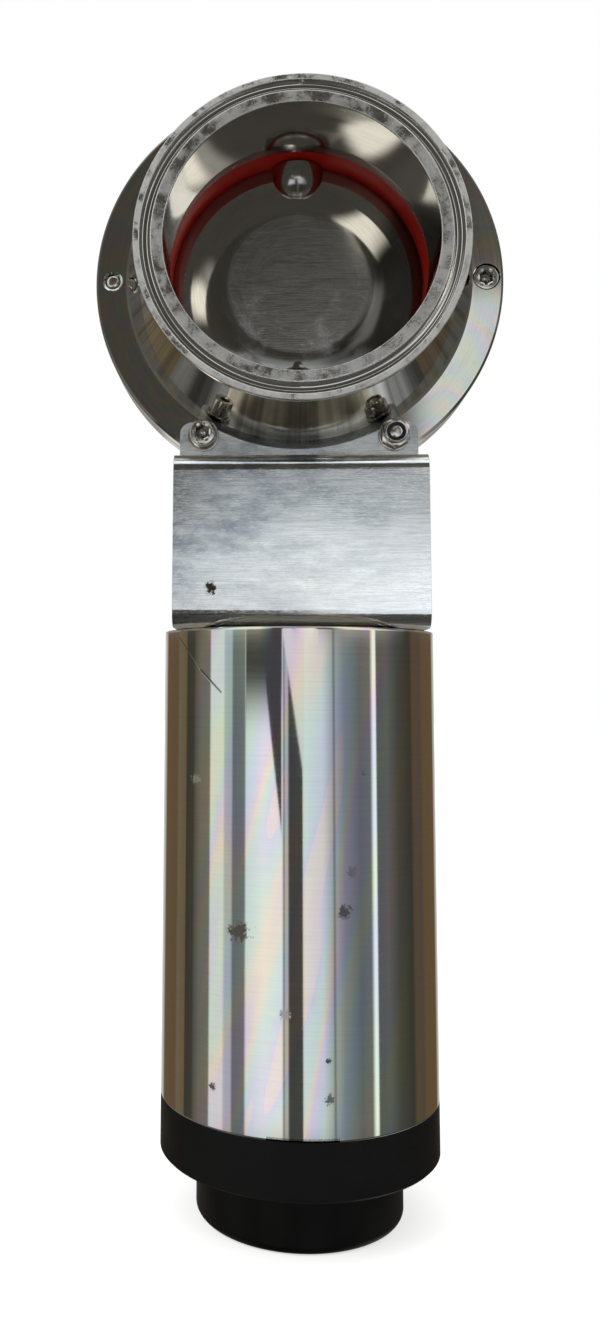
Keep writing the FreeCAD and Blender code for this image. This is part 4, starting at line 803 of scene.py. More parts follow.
# %% The disc with its stems
fine, plain = np.linspace(74, 106, 107), np.linspace(-73, 73, 131)
angle = np.radians(np.concatenate([plain, fine, plain + 180, fine + 180]))
rim = np.full(len(angle), DISC - 0.1)
for _ in range(30):
    rim = 0.5 * rim + 0.5 * np.sqrt(DISC ** 2 - np.clip(disc_height(rim, angle), 0, 12) ** 2)
knots = np.array([FLAT, BROW, SHOULDER]) / rim.max()
share = np.concatenate([np.linspace(0, knots[0], 5), np.linspace(knots[0], knots[1], 56)[1:],
                        np.linspace(knots[1], knots[2], 9)[1:], np.linspace(knots[2], 1, 12)[1:]])[:, None]
r = share * rim
top = disc_height(r, angle)
top = np.where(share == 1, np.sqrt(DISC ** 2 - rim ** 2), top)
face = np.stack([r * np.cos(angle), r * np.sin(angle), top], -1)
back = face[::-1] * np.array([1, 1, -1.0])
belt = np.linspace(1, -1, 9)[1:-1, None] * top[-1]
girdle = np.sqrt(DISC ** 2 - belt ** 2)
band = np.stack([girdle * np.cos(angle), girdle * np.sin(angle), belt], -1)
disc_shell = np.concatenate([face, band, back]) * MM
STEM_ROOT, STEM_TOP, TAIL_TOP, TAIL_END, SQUARE = 45.0, 69.0, 90.0, 104.0, 4.5
root = [(0, STEM_ROOT, 0), (STEM, STEM_ROOT, 0)]
upper_stem = ringed(root + [(STEM, STEM_TOP - 0.5, 0), (STEM - 0.5, STEM_TOP, 0), (0, STEM_TOP, 0)])
lower_stem = ringed(root + [(STEM, TAIL_TOP - 0.4, 0), (STEM - 0.4, TAIL_TOP, 0), (SQUARE, TAIL_TOP, 4),
                            (SQUARE, TAIL_END - 0.4, 4), (SQUARE - 0.4, TAIL_END, 4), (0, TAIL_END, 0)])
piece("disc_and_stems",
      placed([sheet(disc_shell)], (0, 0, AXIS), "-Y") + placed([sheet(upper_stem)], (0, 0, AXIS), "+Z")
      + placed([sheet(lower_stem)], (0, 0, AXIS), "-Z"), "disc_assembly", DISC_STEEL, ["disc"])

# %% [markdown]
# Fasteners. A cap screw is one string of rings: the end of the shank, the seat, the side of the
# head, its eased top edge, and the hexagon socket with the cone that the drill leaves.

# %% The shapes of the fasteners
HEAD, HEAD_TALL, SHANK, KEY, SOCKET = 5.0, 6.0, 3.0, 2.5, 3.2
TIP = [(0, 0), (1.3, 0.04), (2.1, 0.14), (2.3, 0.26), (3.0, 0.9)]


def cap_screw(length):
    """A socket head cap screw whose seat is at height 0."""
    end = [(radius, rise - length, 0) for radius, rise in TIP]
    head = [(SHANK, 0, 0), (HEAD, 0, 0), (HEAD, HEAD_TALL - 0.7, 0), (HEAD - 0.1, HEAD_TALL - 0.35, 0),
            (HEAD - 0.35, HEAD_TALL - 0.1, 0), (HEAD - 0.7, HEAD_TALL, 0), (KEY + 0.6, HEAD_TALL, 0)]
    foot = HEAD_TALL - SOCKET
    socket = [(KEY, HEAD_TALL - 0.3, 6), (KEY, foot, 6), (KEY * 0.7, foot, 0), (KEY * 0.62, foot - 0.2, 0),
              (0, foot - 0.9, 0)]
    return sheet(ringed(end + head + socket))


NUT_FLAT, NUT_HEX, NUT_TALL, COLLAR, INSERT = 5.0, 3.6, 5.4, 4.3, 3.5
WASHER, WASHER_THICK = 6.0, 1.6


def nut():
    """A hexagon lock nut. The hexagon's top ring dips at the corners, where a cone of 30 degrees
    cuts them: height - (reach - flat) tan 30. Above it stands the round collar for the insert."""
    rings = ringed([(SHANK, 0, 0), (NUT_FLAT - 0.2, 0, 0), (NUT_FLAT, 0, 6), (NUT_FLAT, NUT_HEX, 6),
                    (NUT_FLAT - 0.2, NUT_HEX, 0), (COLLAR, NUT_HEX + 0.1, 0), (COLLAR, NUT_TALL - 0.45, 0),
                    (COLLAR - 0.12, NUT_TALL - 0.15, 0), (COLLAR - 0.4, NUT_TALL, 0),
                    (INSERT + 0.1, NUT_TALL, 0),
                    (INSERT, NUT_TALL - 0.1, 0), (INSERT, NUT_TALL - 1.5, 0), (SHANK, NUT_TALL - 1.5, 0)])
    reach = np.linalg.norm(rings[2][:, :2], axis=1)
    dip = (reach - NUT_FLAT * MM) * math.tan(math.radians(30))
    rings[2][:, 2] += dip
    rings[3][:, 2] -= dip
    return sheet(rings, round_rows=True)


def insert():
    """The nylon ring in the nut's collar, which closes over the bolt's eased end."""
    low, high = NUT_TALL - 1.45, NUT_TALL - 0.3
    rings = [(SHANK, low, 0), (INSERT, low, 0), (INSERT, high - 0.1, 0), (INSERT - 0.1, high, 0),
             (2.6, high, 0), (2.4, high - 0.1, 0), (2.4, high - 0.3, 0), (SHANK, high - 0.6, 0)]
    return sheet(ringed(rings), round_rows=True)


def washer():
    """A flat washer whose seat is at height 0."""
    section = [(SHANK, 0), (WASHER, 0), (WASHER, WASHER_THICK), (SHANK, WASHER_THICK)]
    return sheet(turned(softened(section, 0.15), 96), round_rows=True)


# %% [markdown]
# Screws of one kind are one CAD node, so they are also one piece here, with a copy of the shape's
# points for each place. Linked copies would be lighter, but the frame wants one object for a node.

# %% The sunk screws of the flange
def on_circle(angle):
    """x and z of a screw on the flange's bolt circle, in metres."""
    turn = math.radians(angle)
    return BOLT_CIRCLE * MM * math.cos(turn), AXIS + BOLT_CIRCLE * MM * math.sin(turn)


SEAT, SCREW_LENGTH = 3.5, 13.25
screws = []
for angles, y, way in ((HEADS, -SEAT, "-Y"), (THREADS, SEAT, "+Y")):
    for angle_deg in angles:
        x, z = on_circle(angle_deg)
        screws += placed([cap_screw(SCREW_LENGTH)], (x, y * MM, z), way)
piece("sunk_screws", screws, "root", SCREW_STEEL, ["flange_screws"])

# %% [markdown]
# Two longer bolts pass through both tabs and both halves, with a washer on each side and a lock
# nut. The left one has its head in front and the right one its nut. The blue ring in the nut is
# nylon, and it is a piece of its own because its material differs.

# %% The bolts through the tabs
SHEET = 3.0
STACK = FLANGE_HALF + SHEET + WASHER_THICK
bolts, nuts, inserts, washers = [], [], [], []
for angle_deg, side in ((240, -1), (300, 1)):
    x, z = on_circle(angle_deg)
    head_way, nut_way = ("-Y", "+Y") if side < 0 else ("+Y", "-Y")
    bolts += placed([cap_screw(2 * STACK + NUT_TALL - 0.25)], (x, side * STACK * MM, z), head_way)
    nuts += placed([nut()], (x, -side * STACK * MM, z), nut_way)
    inserts += placed([insert()], (x, -side * STACK * MM, z), nut_way)
    for way, y in (("-Y", -FLANGE_HALF - SHEET), ("+Y", FLANGE_HALF + SHEET)):
        washers += placed([washer()], (x, y * MM, z), way)
piece("tab_bolts", bolts, "root", SCREW_STEEL, ["bracket_bolts"])
piece("tab_nuts", nuts, "root", SCREW_STEEL, ["bracket_nuts"])
piece("tab_nut_inserts", inserts, "root", BLUE_NYLON, ["nut_inserts"])
piece("tab_washers", washers, "root", SCREW_STEEL, ["bracket_washers"])

# %% [markdown]
# Four more screws hold the bracket's floor on the top cover, at the corners of a square.

# %% The screws in the bracket floor
FLOOR_SCREW, FLOOR_LENGTH = 21.2, 14.0
floor_screws, floor_washers = [], []
for x, y in ((-1, -1), (1, -1), (1, 1), (-1, 1)):
    spot = (x * FLOOR_SCREW * MM, y * FLOOR_SCREW * MM)
    seat = TUBE_TOP + SHEET * MM
    floor_washers += placed([washer()], (*spot, seat))
    floor_screws += placed([cap_screw(FLOOR_LENGTH)], (*spot, seat + WASHER_THICK * MM))
piece("floor_screws", floor_screws, "root", SCREW_STEEL, ["mount_screws"])
piece("floor_washers", floor_washers, "root", SCREW_STEEL, ["mount_washers"])

# %% [markdown]
# The bracket is one sheet, 3 mm thick, folded to a U: floor, two plates, two shelves, and two
# joggled tabs that clasp the flange. Its middle surface is a grid with rows along the fold's
# section and columns across it. On the tabs the rows end on the ears' outline, which follows the
# cone's foot with an arc. Solidify then gives the sheet its thickness, and a small bevel its edges,
# which is simpler than drawing both faces and keeps the thickness even round the bends.

# %% The folded bracket
BEND, SHELF_TOP = 6.0, 61.9
SHELF = TUBE_TOP / MM + SHELF_TOP - SHEET / 2
MID_DEEP = SHEET_DEEP / MM - SHEET / 2
MID_TAB = FLANGE_HALF + SHEET / 2
MID_FLOOR = TUBE_TOP / MM + SHEET / 2
TAB_MM, WIDE, EAR_ROUND, TAB_ARC = TAB_TOP / MM, SHEET_WIDE / MM, 4.5, 67.8


def right_angle(u):
    """The shares of a true arc in a right angle: 1 - sin t and 1 - cos t, with t = u pi / 2."""
    return 1 - np.sin(u * np.pi / 2), 1 - np.cos(u * np.pi / 2)


TAB_START = SHELF + BEND - SHEET / 2
EAR = WIDE - EAR_ROUND
half_fold = eased([(0, MID_FLOOR), (MID_DEEP, MID_FLOOR), (MID_DEEP, SHELF), (MID_TAB, SHELF),
                   (MID_TAB, TAB_START)], BEND - SHEET / 2, right_angle, 9)[:-2]
ear_columns = EAR + EAR_ROUND * np.cos(np.linspace(0, np.pi / 2, 14))
columns = np.concatenate([-ear_columns, np.linspace(-EAR, EAR, 61)[1:-1], ear_columns[::-1]])
past = np.clip(np.abs(columns) - EAR, 0, None)
ear = TAB_MM - EAR_ROUND + np.sqrt(np.clip(EAR_ROUND ** 2 - past ** 2, 0, None))
neck = AXIS / MM - np.sqrt(np.clip(TAB_ARC ** 2 - columns ** 2, 0, None))
ear_top = np.where(np.abs(columns) < TAB_ARC, np.minimum(ear, neck), ear)
share = np.linspace(0, 1, 12)[:, None]
tab_z = TAB_START + share * (ear_top - TAB_START)
rear_strip = np.stack(np.broadcast_arrays(columns, half_fold[:, :1], half_fold[:, 1:]), -1)
tab = np.stack(np.broadcast_arrays(columns, np.float64(MID_TAB), tab_z), -1)
rear_side = np.concatenate([rear_strip, tab])
front_side = rear_side[1:][::-1] * np.array([1, -1, 1.0])
bracket_sheet = sheet(np.concatenate([front_side, rear_side]) * MM, round_columns=False)
bracket = piece("folded_bracket", [bracket_sheet], "root", SHEET_STEEL, ["bracket"])
thick = bracket.modifiers.new("thickness", "SOLIDIFY")
thick.thickness, thick.offset, thick.use_even_offset = SHEET * MM, 0, True
edge = bracket.modifiers.new("edges", "BEVEL")
edge.width, edge.segments, edge.limit_method, edge.angle_limit = 0.3 * MM, 3, "ANGLE", math.radians(60)
edge.harden_normals = True

# %% [markdown]
# The actuator's cylinder is a drawn and polished tube. Its lower edge has a shallow notch at the
# front, which takes the key of the black end cover. A cutter could make the notch, but here the
# lowest points are simply raised within its width. The notch's two sides are pairs of columns that
# lie close together, so that the step is crisp.

# %% The cylinder
NOTCH_HALF, NOTCH_HIGH, CLOSE = 12.0, 1.0, 1e-4
TUBE_MM, WALL, MID_HEIGHT = TUBE / MM, 2.0, 120
notch_turn = math.asin(NOTCH_HALF / TUBE_MM)
sides = [side * notch_turn + gap for side in (-1, 1) for gap in (-CLOSE, CLOSE)]
around = np.sort(np.concatenate([np.linspace(-np.pi, np.pi, TURN, endpoint=False), sides]))


def tube_wall(corners, lift):
    """The profile (r, h) swept round, its lowest points raised by lift within the key's width.
    Angle 0 is the front, and the point lies at (r sin a, -r cos a, h)."""
    profile = softened(corners, 0.25)
    low = profile[:, 1] < profile[:, 1].min() + 0.6 * MM
    raised = np.where(np.abs(around) < notch_turn, lift * MM, 0.0)[None] * low[:, None]
    r = profile[:, :1]
    return np.stack([r * np.sin(around), -r * np.cos(around), profile[:, 1:] + raised], -1)


LOW, HIGH = TUBE_BASE / MM, TUBE_TOP / MM
TUBE_BORE = TUBE_MM - WALL
tube_corners = [(TUBE_BORE, MID_HEIGHT), (TUBE_BORE, LOW), (TUBE_MM, LOW), (TUBE_MM, HIGH - 0.5),
                (TUBE_MM - 0.5, HIGH), (TUBE_BORE, HIGH), (TUBE_BORE, MID_HEIGHT)]
piece("cylinder_tube", [sheet(tube_wall(tube_corners, NOTCH_HIGH))], "root", TUBE_STEEL, ["actuator_tube"])

# %% [markdown]
# The top cover closes the cylinder below the bracket. It is a turned plate with a short spigot
# round the shaft's hole, which centres the bracket.

# %% The top cover
SPIGOT, SPIGOT_TALL, COVER_THICK, COVER_HOLE = 12.75, 4.5, 16.0, 8.25
cover_corners = [(COVER_HOLE, HIGH - COVER_THICK), (TUBE_BORE, HIGH - COVER_THICK), (TUBE_BORE, HIGH - 0.5),
                 (TUBE_BORE - 0.5, HIGH), (SPIGOT, HIGH), (SPIGOT, HIGH + SPIGOT_TALL - 0.5),
                 (SPIGOT - 0.5, HIGH + SPIGOT_TALL), (COVER_HOLE, HIGH + SPIGOT_TALL)]
piece("cover_plate", [sheet(turned(softened(cover_corners, 0.2)), round_rows=True)], "root", PLAIN_STEEL,
      ["top_cover"])

# %% [markdown]
# Two black pieces close the actuator. The end cover's rim stands in line with the tube and carries
# the air port in a spot face at the back. The port is a well in the wall's grid, like the holes of
# the flange, and its first circle is moved on to the round wall.

# %% The black end cover
RING_LOW = CAP_TOP / MM
PORT_Z, PORT, PORT_DEEP, SPOT, SPOT_DEEP, SPOT_EDGE = RING_LOW + 9.6, 4.3, 12.0, 7.0, 1.2, 7.6
CAP_MM, NECK_TALL, INSIDE_TALL, EDGE_CUT, WALL_ROWS = CAP / MM, 8.0, 4.0, 1.0, 35
rows = np.linspace(RING_LOW + EDGE_CUT, LOW - 0.3, WALL_ROWS)
edge_low = softened([(CAP_MM - 4, RING_LOW - NECK_TALL), (CAP_MM - 4, RING_LOW),
                     (TUBE_MM - EDGE_CUT, RING_LOW), (TUBE_MM, RING_LOW + EDGE_CUT)], [0.2, 0.4])
edge_high = softened([(TUBE_MM, LOW - 0.3), (TUBE_MM, LOW), (TUBE_BORE, LOW),
                      (TUBE_BORE, LOW + INSIDE_TALL)], 0.2)
wall = turned(np.stack([np.full(WALL_ROWS, TUBE_MM), rows], 1) * MM)


def on_wall(points):
    """Points moved along Y on to the cylinder: y = sqrt(radius^2 - x^2)."""
    return np.stack([points[:, 0], np.sqrt(TUBE ** 2 - points[:, 0] ** 2), points[:, 2]], 1)


spacing = rows[1] - rows[0]
port_row, port_column = (PORT_Z - rows[0]) / spacing, TURN / 4
reach_rows, reach_columns = SPOT_EDGE / spacing, math.degrees(SPOT_EDGE / TUBE_MM) * TURN / 360
port_rings = [(SPOT, 0), (SPOT, SPOT_DEEP), (PORT + 0.5, SPOT_DEEP), (PORT, SPOT_DEEP + 0.5),
              (PORT, PORT_DEEP), (0, PORT_DEEP + 0.5)]
port_axes = np.array([(-1.0, 0, 0), (0, 0, 1), (0, 1, 0)])
port = (np.array([0, TUBE, PORT_Z * MM]), *port_axes, port_rings, 3, on_wall)
port_wall = pierced(wall, [(round(port_row - reach_rows), round(port_row + reach_rows),
                            round(port_column - reach_columns), round(port_column + reach_columns), port)])
piece("black_end_cover", [sheet(turned(edge_low)), sheet(turned(edge_high))] + port_wall, "root", ACETAL,
      ["end_cover"])

# %% [markdown]
# The lower cap is a plain moulded cup with a round lower edge. A profile with a quarter circle is
# all that it needs, and its wall and floor keep it as hollow as the CAD piece.

# %% The black lower cap
CAP_ROUND, CAP_WALL, CAP_FLOOR = 3.0, 3.8, 4.0
bend = np.linspace(0, np.pi / 2, 13)
cap_foot = np.stack([CAP_MM - CAP_ROUND * (1 - np.sin(bend)), CAP_ROUND * (1 - np.cos(bend))], 1)
cap_profile = np.concatenate([[(0, 0)], cap_foot, [(CAP_MM, RING_LOW), (CAP_MM - CAP_WALL, RING_LOW),
                                                   (CAP_MM - CAP_WALL, CAP_FLOOR), (0, CAP_FLOOR)]]) * MM
piece("black_lower_cap", [sheet(turned(cap_profile))], "root", NYLON, ["lower_cap"])

# %% [markdown]
# The return spring is a coil of round wire between the piston and the top cover, its end turns
# laid flat and ground. On the real actuator its low end rises with the piston while its high end
# stays. Here it rides on no body. A curve with a round bevel could make the coil as well, but
# ground ends are easier to cut on a grid.

# %% The return spring
SPRING_LOW, SPRING_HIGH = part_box("return_spring")[0].z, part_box("return_spring")[1].z
WIRE_ROUND, GROUND, END_RISE, HALF_TURNS = 4.5 * MM, 1.5 * MM, 9.3 * MM, 13
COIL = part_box("return_spring")[1].x - WIRE_ROUND


def coil(steps=28, sides=24):
    """The wire's middle at angle a = pi t lies at (R cos a, R sin a, z(t)), and its circle adds
    r (cos b) outwards and r (sin b) upwards. Heights are cut at the two ground ends."""
    wound = SPRING_HIGH - SPRING_LOW - 2 * (WIRE_ROUND - GROUND)
    working = np.linspace(END_RISE, wound - END_RISE, HALF_TURNS - 3)
    knots = np.concatenate([[0, 0], working, [wound, wound]])
    t = np.linspace(0, HALF_TURNS, HALF_TURNS * steps + 1)
    middle = SPRING_LOW + WIRE_ROUND - GROUND + np.interp(t, np.arange(HALF_TURNS + 1), knots)
    t, middle = np.pad(t, 1, "edge"), np.pad(middle, 1, "edge")
    thick = np.full(len(t), WIRE_ROUND)
    thick[[0, -1]] = 0
    round_wire = np.arange(sides) * 2 * np.pi / sides
    out = COIL + thick[:, None] * np.cos(round_wire)
    height = np.clip(middle[:, None] + thick[:, None] * np.sin(round_wire), SPRING_LOW, SPRING_HIGH)
    angle = np.pi * t[:, None]
    return np.stack([out * np.cos(angle), out * np.sin(angle), height], -1)


spring = piece("return_spring_coil", [sheet(coil())], None, WIRE, ["return_spring"])
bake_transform(spring)

# %% [markdown]
# The pieces inside the actuator and between the bracket's plates keep their CAD shapes, because
# they hardly show and those shapes are right. Each gets its finish by the record's slot.

# %% The CAD pieces that stay
BY_SLOT = {made["slot"]: made for made in (
    BODY_STEEL, SHEET_STEEL, PLAIN_STEEL, SCREW_STEEL, SILICONE, NITRILE, ACETAL, NYLON, BLUE_NYLON,
    WHITE_ACETAL, ALUMINIUM, BRONZE, SINTERED, WIRE)}
slots = {entry["node"]: entry["material_slot"] for entry in frame["record"]["subparts"]}
shown = [name for name, thing in frame["nodes"].items() if not thing.hide_render]
for name in shown:
    mesh = frame["nodes"][name].data
    mesh.materials.clear()
    mesh.materials.append(BY_SLOT[slots[name]])
print("CAD nodes kept:", sorted(shown))

# %% [markdown]
# The camera stands where the picture was taken from: a little below the pipe's axis and close by,
# so that the cylinder narrows less than it seems to. The place, the angles, the focal length and
# the picture's centre were fitted to the ferrule, the bore and the tube's outline in the
# photograph.

# %% The camera
PICTURE, SENSOR = (600, 1343), 36.0
FOCAL_PX, CENTRE_PX = 1136.914, (203.915, 564.894)
PITCH, YAW, ROLL = 0.108, 0.057, -0.007
SPOT_XYZ = (-11.359 * MM, -438.513 * MM, AXIS - 158.312 * MM)
turn = (Matrix.Rotation(YAW, 3, "Z") @ Matrix.Rotation(PITCH, 3, "X") @ Matrix.Rotation(ROLL, 3, "Y")
        @ Matrix.Rotation(math.pi / 2, 3, "X"))
lens_data = bpy.data.cameras.new("camera")
lens_data.sensor_width, lens_data.sensor_fit = SENSOR, "AUTO"
lens_data.lens = FOCAL_PX / PICTURE[1] * SENSOR
lens_data.shift_x = (PICTURE[0] / 2 - CENTRE_PX[0]) / PICTURE[1]
lens_data.shift_y = (CENTRE_PX[1] - PICTURE[1] / 2) / PICTURE[1]
lens_data.clip_start = 0.01
camera = bpy.data.objects.new("camera", lens_data)
camera.matrix_world = Matrix.Translation(SPOT_XYZ) @ turn.to_4x4()
bpy.context.scene.collection.objects.link(camera)
bpy.context.scene.camera = camera
print("lens %.2f mm, shift %.4f %.4f" % (lens_data.lens, lens_data.shift_x, lens_data.shift_y))

# %% [markdown]
# Polished steel has no colour of its own to speak of: it shows the room. The room here is a pale
# studio, with tall soft lights that become the white lines along the cylinder, and with darker,
# warmer stretches between them. It is drawn in degrees: bearings run from the front to the right,
# and rises run up from the horizon.

# %% An empty room in degrees
world = bpy.data.worlds.new("studio")
bpy.context.scene.world = world
world.use_nodes = True
sky = world.node_tree
sky.nodes.clear()
DEGREE = 180 / math.pi
sky_place = add("SeparateXYZ", {"Vector": signal("TexCoord", output="Generated", tree=sky)})
sky_x, sky_y, sky_z = (Signal(sky_place, name) for name in "XYZ")
bearing = sky_x.math("ARCTAN2", -sky_y) * DEGREE
rise = sky_z.math("ARCSINE") * DEGREE


def along_stops(value, stops):
    """A ramp over the stops' own span of degrees."""
    low, high = stops[0][0], stops[-1][0]
    share = signal("MapRange", {"Value": value, "From Min": low, "From Max": high})
    return ramp(share, [((degrees - low) / (high - low), colour) for degrees, colour in stops])


def both_sides(left, right):
    """One ramp for bearings left of the front and one for those right of it."""
    return signal("Mix", {"Factor": step_between(bearing, -0.5, 0.5), "A": along_stops(bearing, left),
                          "B": along_stops(bearing, right)}, data_type="RGBA")


def hang(picture, patches):
    """Soft boxes of (bearings, rises, colour, softness) laid over a picture of the room."""
    for bearings, rises, shade, soft in patches:
        box = within(bearing, *bearings, soft) * within(rise, *rises, soft)
        picture = signal("Mix", {"Factor": box, "A": picture, "B": shade}, data_type="RGBA")
    return picture


# %% [markdown]
# Level with the eye are the lamps and dark stretches that the cylinder shows. Below them lies the
# floor, which the lower cone and the slopes of the disc show, and above them the ceiling.

# %% Level, floor and ceiling
level = both_sides(
    [(-180, "#9a9890"), (-165, "#c8c6c0"), (-152, "#8c8a82"), (-150, "#5e4d38"), (-124, "#5e4d38"),
     (-121, "#6a5f4c"), (-109.5, "#66593f"), (-108.5, "#3a3830"), (-99, "#403e36"), (-97, "#55524a"),
     (-90, "#6e6a60"), (-80, "#757266"), (-78.5, "#dcdcd6"), (-66, "#e2dfd2"), (-64, "#b4b8b8"),
     (-58, "#aeb4b4"), (-56.5, "#6e7070"), (-46, "#747674"), (-44.5, "#dfe2e1"), (-30, "#f4f2ee"),
     (-14.5, "#eeeef0"), (-13.5, "#8c8c8c"), (-12.2, "#8c8c8c"), (-12, "#b8b8b6"), (-10, "#b8b8b6"),
     (-9, "#464444"), (0, "#484644")],
    [(0, "#484644"), (2, "#484644"), (3, "#e0e4e6"), (18, "#d4d8dc"), (26, "#a8acb0"), (27, "#787a7c"),
     (28, "#787a7c"), (29, "#a0a4aa"), (36, "#80868c"), (50, "#66696c"), (59.5, "#70706e"),
     (62.3, "#fdfdfa"), (64.6, "#fdfdfa"), (65.6, "#5e5e5c"), (76, "#62625c"), (88, "#4a483e"),
     (104, "#3a382e"), (108, "#564838"), (120, "#50463a"), (124, "#5e4c36"), (150, "#5c4a34"),
     (152, "#8c8a82"), (165, "#c0beb8"), (180, "#9a9890")])
below_left = along_stops(rise, [(-90, "#373633"), (-66, "#373633"), (-63, "#7d7c78"), (-45, "#7d7c78"),
                                (-41, "#3c3b38"), (-33, "#3c3b38"), (-30, "#696862"), (-16, "#696862")])
below_right = along_stops(rise, [(-90, "#4a4a48"), (-66, "#565654"), (-62, "#8c8c8a"), (-50, "#8c8c8a"),
                                 (-46, "#cdcdcb"), (-42, "#cdcdcb"), (-39, "#7f7f7c"), (-32, "#7f7f7c"),
                                 (-24, "#3a3a38"), (-16, "#3a3a38")])
below_ahead = along_stops(bearing, [(-90, "#696862"), (-50, "#4f4b43"), (0, "#3c3a35"), (50, "#45423b"),
                                    (90, "#3a3a38")])
below = signal("Mix", {"Factor": step_between(bearing, -10, 10), "A": below_left, "B": below_right},
               data_type="RGBA")
below = signal("Mix", {"Factor": step_between(abs(bearing), 85, 60), "A": below, "B": below_ahead},
               data_type="RGBA")
above = both_sides(
    [(-180, "#8a8a86"), (-123, "#8a8680"), (-120, "#6a655b"), (-90, "#55524a"), (-60, "#eeeeea"),
     (-34, "#e2e2de"), (-22, "#57534b"), (-9, "#45423b"), (0, "#45423b")],
    [(0, "#45423b"), (8, "#45423b"), (12, "#5a5750"), (26, "#5a5750"), (40, "#e2e2de"), (60, "#eeeeea"),
     (100, "#4a483e"), (150, "#8a8880"), (180, "#8a8a86")])
overhead = along_stops(rise, [(26, "#45423b"), (46, "#45423b"), (52, "#fdfdfc"), (80, "#fdfdfc"),
                              (86, "#55524a"), (90, "#55524a")])

# %% [markdown]
# The pictures are now laid over one another. A leaning window and a bright sill over the front
# light the bracket's plate, a dark sheet hangs to the left of it, the ceiling begins sooner
# straight ahead, and a lamp overhead gives the bends their white lines.

# %% Windows, sheets and a lamp
DARK_SHEET = "#464444"
room = signal("Mix", {"Factor": step_between(rise, -19.5, -23), "A": level, "B": below}, data_type="RGBA")
lean = (rise + 4.0).math("MAXIMUM", 0.0) * 2.4 + bearing
window = step_between(lean, 1.5, 2.7) * step_between(bearing, 4.0, 2.5)
room = signal("Mix", {"Factor": window, "A": room, "B": "#e0dcd6"}, data_type="RGBA")
sill = along_stops(bearing, [(-8, "#a5aab0"), (-3, "#b9bec2"), (2, "#f0efeb"), (9, "#fdfdfc")])
ledge = within(bearing, -6, 11, 2) * step_between(rise, 2.2, 4.0)
room = signal("Mix", {"Factor": ledge, "A": room, "B": sill}, data_type="RGBA")
fall = (rise + 8.0).math("MAXIMUM", 0.0) * 1.85 + 13.2
strip = step_between(bearing + fall, -0.6, 0.6) * step_between(bearing, -14.4, -15.6)
block = within(bearing, -45.0, -14.6, 0.5) * step_between(rise, -2.6, 1.0)
room = signal("Mix", {"Factor": strip.math("MAXIMUM", block), "A": room, "B": DARK_SHEET}, data_type="RGBA")
sooner = step_between(abs(bearing), 12.5, 15.5, 4.0)
room = signal("Mix", {"Factor": step_between(rise + sooner, 6.0, 9.0), "A": room, "B": above},
              data_type="RGBA")
room = hang(room, [((-4, 9), (6.2, 8.5), "#e2e4e4", 1), ((-4, 9), (8.5, 11.5), "#a4a8aa", 1),
                   ((7.5, 12.5), (11.5, 19.5), "#dcdcd8", 1)])
narrow = step_between(abs(bearing), 26, 18).math("MAXIMUM", step_between(rise, 52, 60))
room = signal("Mix", {"Factor": narrow * step_between(rise, 26, 34), "A": room, "B": overhead},
              data_type="RGBA")

# %% [markdown]
# What a polished hollow mirrors is mostly itself, so rays that have been mirrored more than once
# see a second picture: the dim, warm inside of the bore with a few bright patches, and the streaks
# that the neck's foot shows. Only glossy rays see either picture, through the Light Path node. The
# eye of the camera sees plain white, and everything else gets an even light.

# %% What a polished hollow mirrors
light_path = add("LightPath", tree=sky)
mirrored_twice, mirrored_thrice = (Signal(light_path, "Ray Depth").math("GREATER_THAN", bounces + 0.5)
                                   for bounces in (2, 3))
inside = hang("#3d3a35", [((-60, -8), (6, 24), "#46433e", 3), ((-36, -13), (-20, -3), "#ece5d6", 3),
                          ((12, 26), (1, 8), "#8f8c85", 3), ((14, 25), (9, 19), "#f0e8d8", 3)])
far_side = mirrored_thrice * within(bearing, 17, 38, 3) * within(rise, -15, 12, 3)
inside = signal("Mix", {"Factor": far_side, "A": inside, "B": "#fdf8ec"}, data_type="RGBA")
inside = signal("Mix", {"Factor": step_between(abs(bearing), 50, 90), "A": inside, "B": "#5c5850"},
                data_type="RGBA")
streaks = both_sides(
    [(-180, "#948a76"), (-172, "#5f584a"), (-165, "#d6cbb4"), (-160, "#6b6454"), (-152, "#5f584a"),
     (-148, "#a09c90"), (-141, "#a8a498"), (-138, "#6a665c"), (-133, "#b8b4a8"), (-110, "#a09c90"),
     (0, "#55524a")],
    [(0, "#55524a"), (110, "#8c887c"), (128, "#b8b4a8"), (140, "#d8d4c6"), (147, "#cfcabc"),
     (150, "#5a564c"), (158, "#5f584a"), (163, "#d0c5ae"), (168, "#6b6454"), (180, "#948a76")])
inside = signal("Mix", {"Factor": step_between(rise, 25, 40), "A": inside, "B": streaks}, data_type="RGBA")
room = signal("Mix", {"Factor": mirrored_twice, "A": room, "B": inside}, data_type="RGBA")
mirrored = signal("Background", {"Color": room, "Strength": mirrored_twice * 2.0 + 1.3})
even = signal("Background", {"Color": "#ffffff", "Strength": 0.75}, tree=sky)
seen = signal("Background", {"Color": "#ffffff", "Strength": 1.0}, tree=sky)
lit = signal("MixShader", {0: Signal(light_path, "Is Glossy Ray"), 1: even, 2: mirrored})
shown_sky = signal("MixShader", {0: Signal(light_path, "Is Camera Ray"), 1: lit, 2: seen})
add("OutputWorld", {"Surface": shown_sky})
print("nodes in the room's picture:", len(sky.nodes))

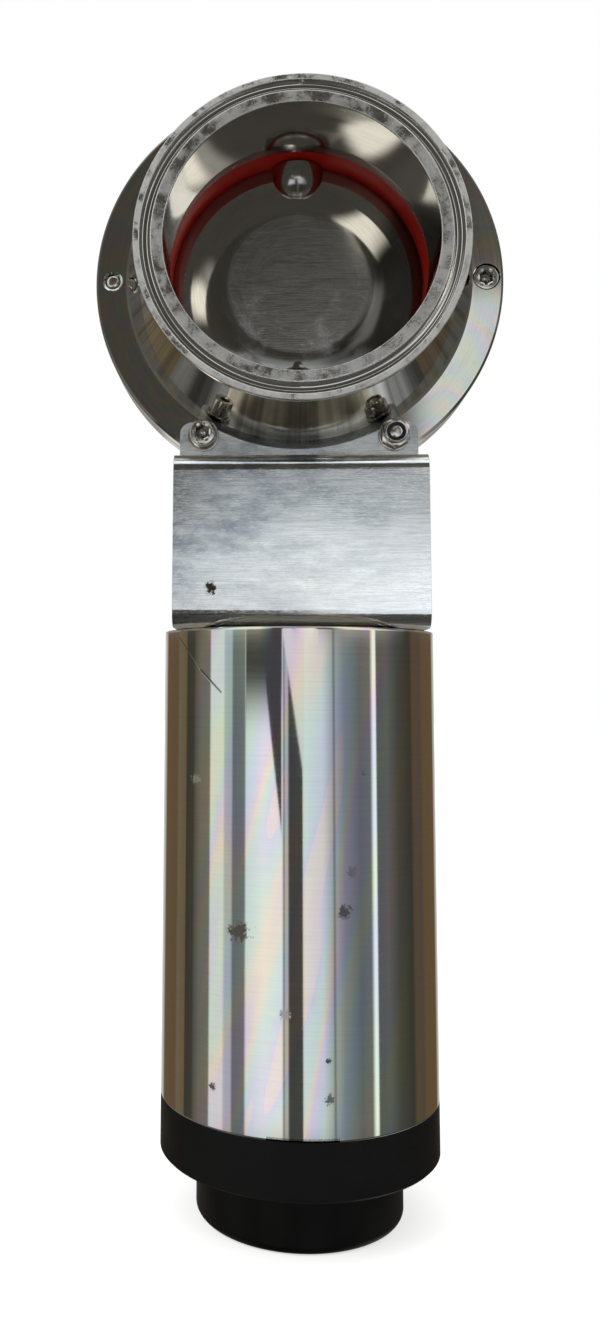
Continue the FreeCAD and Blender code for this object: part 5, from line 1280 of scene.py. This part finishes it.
# %% [markdown]
# Two large soft lamps give the diffuse pieces some shape. The polished pieces don't mirror them,
# because the room's picture already holds every light that shows in the steel.

# %% Two soft lamps
def lamp(name, place, aim, size, power):
    """An area lamp at a place, turned so that its -Z axis points at the aim."""
    data = bpy.data.lights.new(name, "AREA")
    data.shape, data.size, data.size_y, data.energy = "RECTANGLE", *size, power
    made = bpy.data.objects.new(name, data)
    direction = (Vector(aim) - Vector(place)).to_track_quat("-Z", "Y").to_matrix()
    made.matrix_world = Matrix.Translation(place) @ direction.to_4x4()
    made.visible_glossy = False
    bpy.context.scene.collection.objects.link(made)


lamp("key lamp", (-0.9, -0.8, 1.0), (0, 0, 0.25), (0.7, 0.7), 7.0)
lamp("fill lamp", (0.9, -0.7, 0.5), (0, 0, 0.2), (0.6, 0.9), 3.0)
print("lamps:", [light.name for light in bpy.data.lights])

# %% [markdown]
# The floor is a plain pale sheet just below the object that keeps its shadow. Only the camera's
# rays see it glow a little, so that it passes into the white behind it without any more light on
# the object.

# %% The floor
FLOOR_REACH, FLOOR_DROP = 6.0, 0.1 * MM
floor_finish = finish("pale paper", "")
paper_tree = floor_finish.node_tree
paper = signal("BsdfDiffuse", {"Color": "#e8e8e6"}, tree=paper_tree)
glow = signal("Emission", {"Color": "#ffffff", "Strength": 0.55}, tree=paper_tree)
camera_ray = signal("LightPath", output="Is Camera Ray", tree=paper_tree)
bright = signal("AddShader", {0: paper, 1: glow})
add("OutputMaterial", {"Surface": signal("MixShader", {0: camera_ray, 1: paper, 2: bright})})
corners = np.array([(-1, -1), (1, -1), (1, 1), (-1, 1)]) * FLOOR_REACH
floor_mesh = bpy.data.meshes.new("floor")
floor_mesh.from_pydata([(x, y, cad_box[0][2] - FLOOR_DROP) for x, y in corners], [], [(0, 1, 2, 3)])
floor_mesh.materials.append(floor_finish)
floor = bpy.data.objects.new("floor", floor_mesh)
floor.visible_glossy = False
bpy.context.scene.collection.objects.link(floor)
bpy.context.scene.view_settings.view_transform = "Standard"
print("floor at %.4f m, %.1f m wide" % (cad_box[0][2] - FLOOR_DROP, 2 * FLOOR_REACH))
